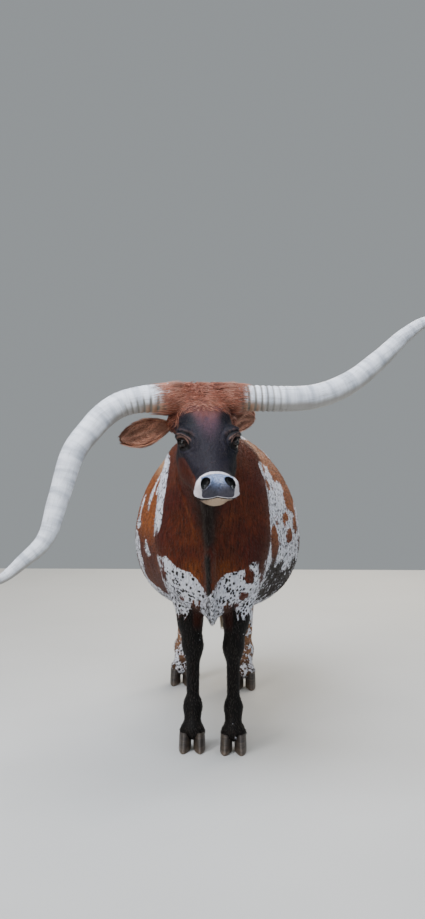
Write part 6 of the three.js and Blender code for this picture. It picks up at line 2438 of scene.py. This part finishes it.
@dataclass
class Ear:
    """A cupped leaf, rolled at the root and open to the tip, with hair in it and round its rim."""

    side: str
    width: float = 112
    wall: float = 4.0
    root_curl: float = 2.5
    tip_curl: float = 0.5
    stations: int = 60
    points: int = 30
    seed: int = 23
    hairs: tuple[EarHair, ...] = (
        EarHair(EarPlace.BACK, 4200, 15, 1.9, 0.10, 0.0), EarHair(EarPlace.RIM, 1300, 19, 1.4, 0.06, 0.33),
        EarHair(EarPlace.CUP, 2600, 22, 1.4, 0.14, 0.66),
    )
    lengths: dict[str, float] = field(default_factory=lambda: {"right": 208.0, "left": 186.0})
    poses: dict[str, tuple[Point, Point, Point]] = field(default_factory=lambda: {
        "right": ((-108, -66, 50), (-330, -116, 84), (-0.12, 0.9, 0.42)),
        "left": ((104, -66, 36), (240, -174, -66), (0.72, 0.1, 0.7)),
    })

    def __post_init__(self) -> None:
        """Works out the ear's own axes."""
        root, tip, hollow = (np.array(v, float) for v in self.poses[self.side])
        self.length = self.lengths[self.side]
        self.base = HEAD.world(root)
        self.along = unit(HEAD.world(tip) - self.base)
        facing = HEAD.turn(hollow)
        self.facing = unit(facing - self.along * (facing @ self.along))
        self.across = np.cross(self.along, self.facing)

    def place(self, t: Array, q: Array, depth: Array | float) -> Array:
        """A place on the leaf.

        The half width follows a sine of t to the 0.86, bent round a roll that opens to the tip.

        Args:
            t: share of the way from root to tip.
            q: from -1 to 1 across.
            depth: how far inside the outer face.

        Returns:
            Points in working millimetres.
        """
        leaf = np.clip(np.sin(np.pi * t ** 0.86), 0, 1) ** 0.62 * 0.5
        spread = self.width * np.maximum(leaf, 0.2 * (1 - t) ** 2 + 0.03)
        curl = self.root_curl + (self.tip_curl - self.root_curl) * np.minimum(t * 1.5, 1) ** 0.6
        bend = spread / curl
        inner = bend - depth
        x = inner * np.sin(curl * q)
        z = bend - inner * np.cos(curl * q) - 14 * np.sin(np.pi * t)
        z = z + 2.2 * np.sin(7 * t + 2 * q) * q ** 4
        parts = (self.length * t, self.along), (x, self.across), (z, self.facing)
        return self.base + sum(np.asarray(size)[..., None] * axis for size, axis in parts)

    def build(self, skin: Material, hair: Material) -> None:
        """Builds the shell and its hair.

        Args:
            skin: finish of the shell.
            hair: finish of the hair.
        """
        t = np.linspace(0, 0.985, self.stations)[:, None]
        q = np.sin(np.linspace(-1, 1, self.points) * np.pi / 2)[None]
        outer = self.place(t, q, 0.0)
        thin = self.wall * (1 - 0.55 * q * q) * (1 - 0.45 * t)
        thin = thin + 0.5 * np.sin(4.5 * np.pi * q) ** 2 * np.sin(np.pi * np.minimum(t * 1.2, 1))
        inside = self.place(t, q * 0.985, thin)[:, ::-1]
        points, faces = closed_tube(np.concatenate([outer, inside], 1))
        rows, cols = np.broadcast_arrays(t, q)
        edge = np.maximum(ramp(0.86, 0.99, np.abs(cols)), ramp(0.86, 0.97, rows))
        rim = np.concatenate([edge, edge[:, ::-1]], 1).ravel()
        grain = np.stack([cols * 0.05, 0 * rows, rows * 0.19], -1)
        grain = np.concatenate([grain, grain[:, ::-1] + [0, 0.01, 0]], 1).reshape(-1, 3)
        # deep paints shade: strong in the cup's depth near the root, and weaker on the back near the root
        deep = ramp(0.40, 0.16, rows + 0.05 * np.sin(9 * cols)) * ramp(0.95, 0.6, np.abs(cols))
        deep = np.concatenate([0.4 * ramp(0.3, 0.05, rows), deep[:, ::-1]], 1).ravel()
        values = {
            "deep": np.append(deep, [1, 0]), "rim": np.append(rim, [0, 1]),
            "grain": np.concatenate([grain, grain[:1], grain[-1:]]),
        }
        Surface(points, outward(points, faces), values).piece(
            f"ear_{self.side}_shell", skin, "coat", f"ear_{self.side}")
        rng = np.random.default_rng(self.seed + len(self.side))
        joined([self.hair(part, rng) for part in self.hairs]).piece(f"ear_{self.side}_hair", hair, "coat")

    @staticmethod
    def hair_roots(part: EarHair, rng: np.random.Generator) -> tuple[Array, Array]:
        """Draws the places of one part's hair on the leaf.

        Args:
            part: the hair's place and sizes.
            rng: the seeded source of chance.

        Returns:
            Shares of the way from root to tip, and places from -1 to 1 across.
        """
        t = rng.uniform(0.04, 0.96, part.count)
        q = rng.uniform(-0.98, 0.98, part.count)
        if part.place is EarPlace.RIM:
            q = np.sign(q) * rng.uniform(0.93, 1.0, part.count)
        if part.place is EarPlace.CUP:
            t, q = rng.uniform(0.05, 0.93, part.count), rng.uniform(-0.93, 0.93, part.count)
        return t, q

    def hair(self, part: EarHair, rng: np.random.Generator) -> Surface:
        """Grows one part's hair: flat on the back, outwards round the rim, across the cup's mouth.

        Args:
            part: the hair's place and sizes.
            rng: the seeded source of chance.

        Returns:
            The hair, with the values tip and tone.
        """
        cup = part.place is EarPlace.CUP
        t, q = self.hair_roots(part, rng)
        depth = self.wall if cup else 0.0
        root = self.place(t, q, depth)
        ahead = self.place(np.minimum(t + 0.02, 1), q, depth) - root
        sideways = unit(self.place(t, q + 0.03, depth) - root)
        normal = unit(np.cross(ahead, sideways))
        out = self.facing
        if not cup:
            back = ((root - self.base) @ self.facing)[:, None]
            middle = self.base + self.along * (self.length * t)[:, None]
            out = root - (middle + self.facing * np.maximum(back, 12))
        normal *= np.sign((normal * out).sum(1, keepdims=True) + 1e-9)
        way = unit(ahead)
        aside = np.sign(q)[:, None] * sideways
        if part.place is EarPlace.RIM:
            way = unit(way + 0.45 * aside)
        if cup:
            way = unit(way * 0.9 + 0.35 * self.facing - 0.5 * aside)
        way = unit(way + rng.normal(0, 0.13, way.shape))
        reach = part.length * rng.uniform(0.6, 1.25, (part.count, 1)) * (1.05 - 0.35 * t[:, None])
        arch = [root + way * reach * far + normal * reach * part.lift * high
                for far, high in ((0.35, 0.6), (0.7, 0.95), (1, 1))]
        lines = np.stack([root - normal * 0.7, *arch], 1)
        blades = Blades(3, part.width, part.width * 0.3)
        size = rng.uniform(0.7, 1.3, part.count)
        hair = blades.build(lines, np.repeat(normal[:, None], 4, 1), size, Chart.HEAD)
        per = blades.per_lock()
        corner = np.column_stack([0.25 * t + part.patch, 0.5 + 0.45 * q])
        offset = hair.patch - np.repeat(hair.patch.reshape(part.count, -1, 2)[:, 0], per, 0)
        hair.patch = np.clip(np.repeat(corner, per, 0) + offset, 0, 1)
        slant = ramp(0.1, 0.9, 0.5 + 0.5 * np.sin(8 * q + 17 * t + 2 * np.sin(5 * t)))
        tone = 0.7 * slant + 0.3 * rng.random(part.count) + ramp(0.3, 0.1, t) + ramp(0.9, 0.98, t)
        hair.values["tone"] = np.repeat(np.clip(tone, 0, 1), per)
        return hair


@dataclass
class Eye:
    """An eyeball in its socket, with two lids round an almond opening, and lashes."""

    side: str
    half_length: float = 20.5
    half_height: float = 13.0
    bulge: float = 3.2
    rings: int = 48
    around: int = 56
    lid_around: int = 96
    lid_across: int = 22

    def build(self, ball: Material, lid: Material, hair: Material) -> None:
        """Builds eyeball, lids and lashes.

        Args:
            ball: finish of the eyeball.
            lid: finish of the lids.
            hair: finish of the lashes.
        """
        self.axes = EYE.axes(SIDES[self.side])
        away = np.linspace(0.02, np.pi - 0.02, self.rings)[:, None]
        turn = np.linspace(0, TURN, self.around, endpoint=False)[None]
        radius = EYE.radius - 0.1 + 1.1 * bell(away, 0, 0.55)
        local = np.stack([radius * np.sin(away) * np.cos(turn), radius * np.sin(away) * np.sin(turn),
                          radius * np.cos(away) + 0 * turn], -1)
        points, faces = closed_tube(self.axes.world(local))
        gaze = np.concatenate([local.reshape(-1, 3), [[0, 0, EYE.radius], [0, 0, -EYE.radius]]]) / EYE.radius
        Surface(points, outward(points, faces), {"gaze": gaze}).piece(
            f"eyeball_{self.side}", ball, "eye", f"eye_{self.side}")
        self.lids(lid)
        self.lashes(hair)

    def margin(self, turn: Array) -> Array:
        """The lids' edge on the eyeball: an almond, longest along the slit, in the eye's axes.

        Args:
            turn: angles round the almond.

        Returns:
            A place for each angle.
        """
        a = self.half_length * np.cos(turn)
        b = self.half_height * np.sin(turn) * (1 - 0.25 * np.cos(turn) ** 2)
        b = np.where(b > 0, b * 0.92 + 0.4, b * 0.86)
        reach = np.hypot(a, b)
        shrink = np.minimum(1, (EYE.radius - 0.6) / reach)
        a, b = a * shrink, b * shrink
        return np.stack([a, b, np.sqrt(np.maximum((EYE.radius + 0.5) ** 2 - a * a - b * b, 9))], -1)

    def lids(self, material: Material) -> None:
        """A ring of folded skin from the margin out to the face.

        Across the ring it rises in a round lip, dips in a crease and sinks into the skin.

        Args:
            material: the lids' finish.
        """
        turn = np.linspace(0, TURN, self.lid_around, endpoint=False)[:, None]
        v = np.linspace(0, 1, self.lid_across)[None]
        edge = self.margin(turn[:, 0])[:, None]
        flat = unit(edge * [1, 1, 0])
        over = np.clip(1.15 * np.sin(turn), 0, 1) ** 0.8
        width = 13 + 10 * over
        base = edge + flat * (width * v)[..., None]
        places = self.axes.world(base)
        gaze = self.axes.rows[2]
        ground = places.copy()
        for _ in range(12):
            gap = FLESH.skin(ground.reshape(-1, 3)).reshape(ground.shape[:2])
            ground = ground - gaze * np.clip(gap * 0.8, -6, 6)[..., None]
        sunk = (ground - places) @ gaze
        lip = 1.9 * np.sin(np.pi * np.clip(v * 4.4, 0, 1)) ** 0.8
        roll = self.bulge * bell(v, 0.52, 0.2) * (0.25 + 0.75 * over)
        blend = ramp(0.05, 0.7, v)
        height = sunk * blend + lip * (1 - blend * 0.4) + roll - 2.4 * ramp(0.74, 1.0, v)
        top = places + gaze * height[..., None]
        under = places - gaze * (3.5 + 2 * v)[..., None] + gaze * (np.minimum(sunk, 0) * v)[..., None]
        ring = np.concatenate([top, under[:, ::-1]], 1)
        count, across = ring.shape[:2]
        i, k = np.meshgrid(np.arange(count), np.arange(across), indexing="ij")
        ni, nk = (i + 1) % count, (k + 1) % across
        quads = [i * across + k, i * across + nk, ni * across + nk, ni * across + k]
        quads = np.stack(quads, -1).reshape(-1, 4)
        points = ring.reshape(-1, 3)
        tint = bell(v, 0.5, 0.18) * (0.05 + 0.95 * over ** 2)
        tint = np.broadcast_to(tint, (count, self.lid_across))
        share = np.concatenate([tint, 0 * tint], 1)
        Surface(points, outward(points, quads), {"roll": share.ravel()}).piece(
            f"lids_{self.side}", material, "face_coat")

    def lashes(self, material: Material, count: int = 90) -> None:
        """Rows of lashes on the upper lid, bent down and out.

        Args:
            material: the lashes' finish.
            count: how many lashes.
        """
        rng = np.random.default_rng(5)
        turn = rng.uniform(0.5, 2.7, count)
        edge = self.margin(turn)
        start = edge + unit(edge * [1, 1, 0]) * rng.uniform(1.2, 2.6, (count, 1)) + [0, 0, 2.4]
        t = np.linspace(0, 1, 6)[None, :, None]
        length = rng.uniform(13, 20, (count, 1, 1))
        lean = np.column_stack([0.5 * np.cos(turn), 0.25 + 0 * turn, 1 + 0 * turn])
        lean = unit(lean + rng.normal(0, 0.1, (count, 3)))
        lines = start[:, None] + lean[:, None] * length * t + np.array([0.1, -0.42, 0]) * length * t ** 2
        lines = self.axes.world(lines)
        outs = np.broadcast_to(self.axes.rows[1], lines.shape)
        blades = Blades(5, 0.9, 0.5)
        hair = blades.build(lines, outs, rng.uniform(0.7, 1.2, count), Chart.HEAD)
        hair.values["tone"] = np.repeat(rng.random(count), blades.per_lock())
        hair.piece(f"lashes_{self.side}", material, "face_coat")


@dataclass
class Hoof:
    """A cloven hoof: two claws, flat on the ground, and two dewclaws behind the fetlock."""

    leg: str
    spread: float = 27
    toe_out: float = 0.08
    levels: tuple[tuple[float, float, float, float], ...] = (  # height, toe, heel, half width
        (0, 84, 34, 22), (2, 86, 36.5, 24.2), (5, 87, 38, 25.5), (30, 71, 42, 25.5), (52, 57, 42, 25),
        (74, 45, 37, 24),
    )

    def claw(self, foot: Point, inner: int) -> Surface:
        """One claw: level rings whose toe, heel and width change smoothly with height.

        Args:
            foot: the foot's joint.
            inner: 1 or -1 for the side it faces.

        Returns:
            The claw.
        """
        at, toe, heel, half = np.array(self.levels, float).T
        z = np.concatenate([[0, 0.6, 2, 3.5], np.linspace(5, 74, 34)])[:, None]
        toe, heel, half = (Track(at, v)(z) for v in (toe, heel, half))
        a = np.linspace(0, TURN, 40, endpoint=False)[None]
        c, s = np.cos(a), np.sin(a)
        narrow = np.where(s < 0, 1 - 0.2 * s * s, 1)
        flat = np.where(c * inner < 0, 0.88, 1)
        ring = 0.35 * np.sin(z * 0.9 + 0.5 * s) * ramp(0, 8, z)
        x, y = c * (half + ring) * narrow * flat, s * (np.where(s < 0, toe, heel) + ring)
        x = x - y * self.toe_out * inner
        rings = np.stack([foot[0] + inner * self.spread + x, foot[1] - 4 + y, z + 0 * x], -1)
        points, faces = closed_tube(rings)
        return Surface(points, outward(points, faces))

    def dewclaw(self, fetlock: Point, side: int) -> Surface:
        """One small horn: a short cone with a blunt tip.

        Args:
            fetlock: the fetlock's joint.
            side: 1 or -1.

        Returns:
            The dewclaw.
        """
        root = np.array([fetlock[0] + side * 20, fetlock[1] + 4, 130.0])
        tip = np.array([fetlock[0] + side * 26, fetlock[1] + 47, 102.0])
        t = np.linspace(0, 1, 18)[:, None]
        a = np.linspace(0, TURN, 20, endpoint=False)[None]
        way = unit(tip - root)
        one = unit(np.cross(way, [1.0, 0, 0]))
        two = np.cross(way, one)
        radius = 12 * (1 - 0.5 * t ** 2) * np.sqrt(np.clip(1 - t ** 6, 0.02, 1)) + 0.3 * np.sin(30 * t)
        rings = (root + way * 52 * t)[:, None] + radius[..., None] * (
            np.cos(a)[..., None] * one + np.sin(a)[..., None] * two)
        points, faces = closed_tube(rings)
        return Surface(points, outward(points, faces))

    def build(self, material: Material) -> None:
        """Joins the foot's four horns and puts them in place of the solids.

        Args:
            material: the hoof's finish.
        """
        table = Flesh.FORE if self.leg.startswith("fore") else Flesh.HIND
        foot, fetlock = (FLESH.stand(self.leg, table[k]) for k in ("foot", "fetlock"))
        parts = [self.claw(foot, n) for n in (1, -1)] + [self.dewclaw(fetlock, n) for n in (1, -1)]
        nodes = [f"{self.leg}_{kind}_{half}" for kind in ("claw", "dewclaw") for half in ("outer", "inner")]
        joined(parts).piece(f"{self.leg}_hoof", material, "hoof", *nodes)


@dataclass
class Studio:
    """A pale floor, soft light from all round, and the camera at the photograph's view."""

    floor_size: float = 9.0
    camera_at: Point = (0.1063, -6.4364, 1.67)
    camera_yaw: float = 1.56  # degrees towards -X
    camera_pitch: float = -4.6
    focal_pixels: float = 1540.0
    film: float = 36.0
    lamps: tuple[tuple[str, Point, float, float, str], ...] = (
        ("sky_softbox", (-0.9, -1.5, 4.6), 2.8, 300.0, "#f2f6ff"),
        ("left_window", (-3.6, -4.4, 3.2), 2.0, 125.0, "#fff6ec"),
        ("right_window", (3.9, -3.6, 2.4), 2.4, 45.0, "#eaf1ff"),
        ("back_window", (1.2, 4.6, 3.6), 3.0, 230.0, "#fff3e2"),
    )

    def build(self) -> None:
        """Builds the floor, the lamps, the world and the camera."""
        self.floor()
        self.light()
        self.camera()

    def floor(self) -> None:
        """A single level square, large enough for the shadow."""
        half = self.floor_size / 2
        mesh = bpy.data.meshes.new("floor")
        corners = [(-half, -half, 0), (half, -half, 0), (half, half, 0), (-half, half, 0)]
        mesh.from_pydata(corners, [], [(0, 1, 2, 3)])
        mesh.materials.append(FloorFinish().make())
        item = bpy.data.objects.new("floor", mesh)
        bpy.context.scene.collection.objects.link(item)

    def light(self) -> None:
        """Square lamps that all look at the middle of the animal, and an even sky."""
        for name, place, size, power, colour in self.lamps:
            lamp = bpy.data.lights.new(name, "AREA")
            lamp.size = size
            lamp.energy = power
            lamp.color = linear(colour)[:3]
            item = bpy.data.objects.new(name, lamp)
            item.location = place
            aim = Vector((0, 0, 0.9)) - Vector(place)
            item.rotation_euler = aim.to_track_quat("-Z", "Y").to_euler()
            bpy.context.scene.collection.objects.link(item)
        world = bpy.data.worlds.new("studio_sky")
        world.use_nodes = True
        back = world.node_tree.nodes["Background"]
        back.inputs["Color"].default_value = linear("#dfe6ea")
        back.inputs["Strength"].default_value = 0.42
        bpy.context.scene.world = world

    def camera(self) -> None:
        """The photograph's place, turn and angle of view."""
        lens = bpy.data.cameras.new("photo_view")
        lens.sensor_fit = "VERTICAL"
        lens.sensor_height = self.film
        lens.lens = self.focal_pixels * self.film / IMAGE_SIZE[1]
        lens.clip_end = 60.0
        item = bpy.data.objects.new("photo_view", lens)
        item.location = self.camera_at
        item.rotation_euler = (math.radians(90 + self.camera_pitch), 0, math.radians(self.camera_yaw))
        bpy.context.scene.collection.objects.link(item)
        bpy.context.scene.camera = item


def main() -> None:
    """Builds the animal from the skin out, then the studio."""
    logging.basicConfig(level=logging.INFO, format="%(message)s")
    Studio().build()
    coat = CoatFinish().make()
    hide = Hide()
    hide.build(coat)
    Coat(hide).build(coat)
    poll = StrandFinish("long_poll_hair", root="#46221a", middle="#a8644e", tip="#dcae98").make()
    PollHair(hide).build(poll)
    brush = StrandFinish("tail_brush_hair", root="#3e281c", middle="#a98e72", tip="#ddd0bc").make()
    TailSwitch().build(brush)
    horn = HornFinish().make()
    ear_skin = EarFinish().make()
    ear_hair = StrandFinish("ear_hair", root="#54291b", middle="#d8967a", tip="#f0c8b2").make()
    ball, lid = EyeFinish().make(), LidFinish().make()
    lash = StrandFinish("lash_hair", root="#0c0808", middle="#150f0e", tip="#2b201c").make()
    for side in SIDES:
        Horn(side).build(horn)
        Ear(side).build(ear_skin, ear_hair)
        Eye(side).build(ball, lid, lash)
    hoof = HoofFinish().make()
    for leg in Flesh.STEP:
        Hoof(leg).build(hoof)


if __name__ == "__main__":
    main()
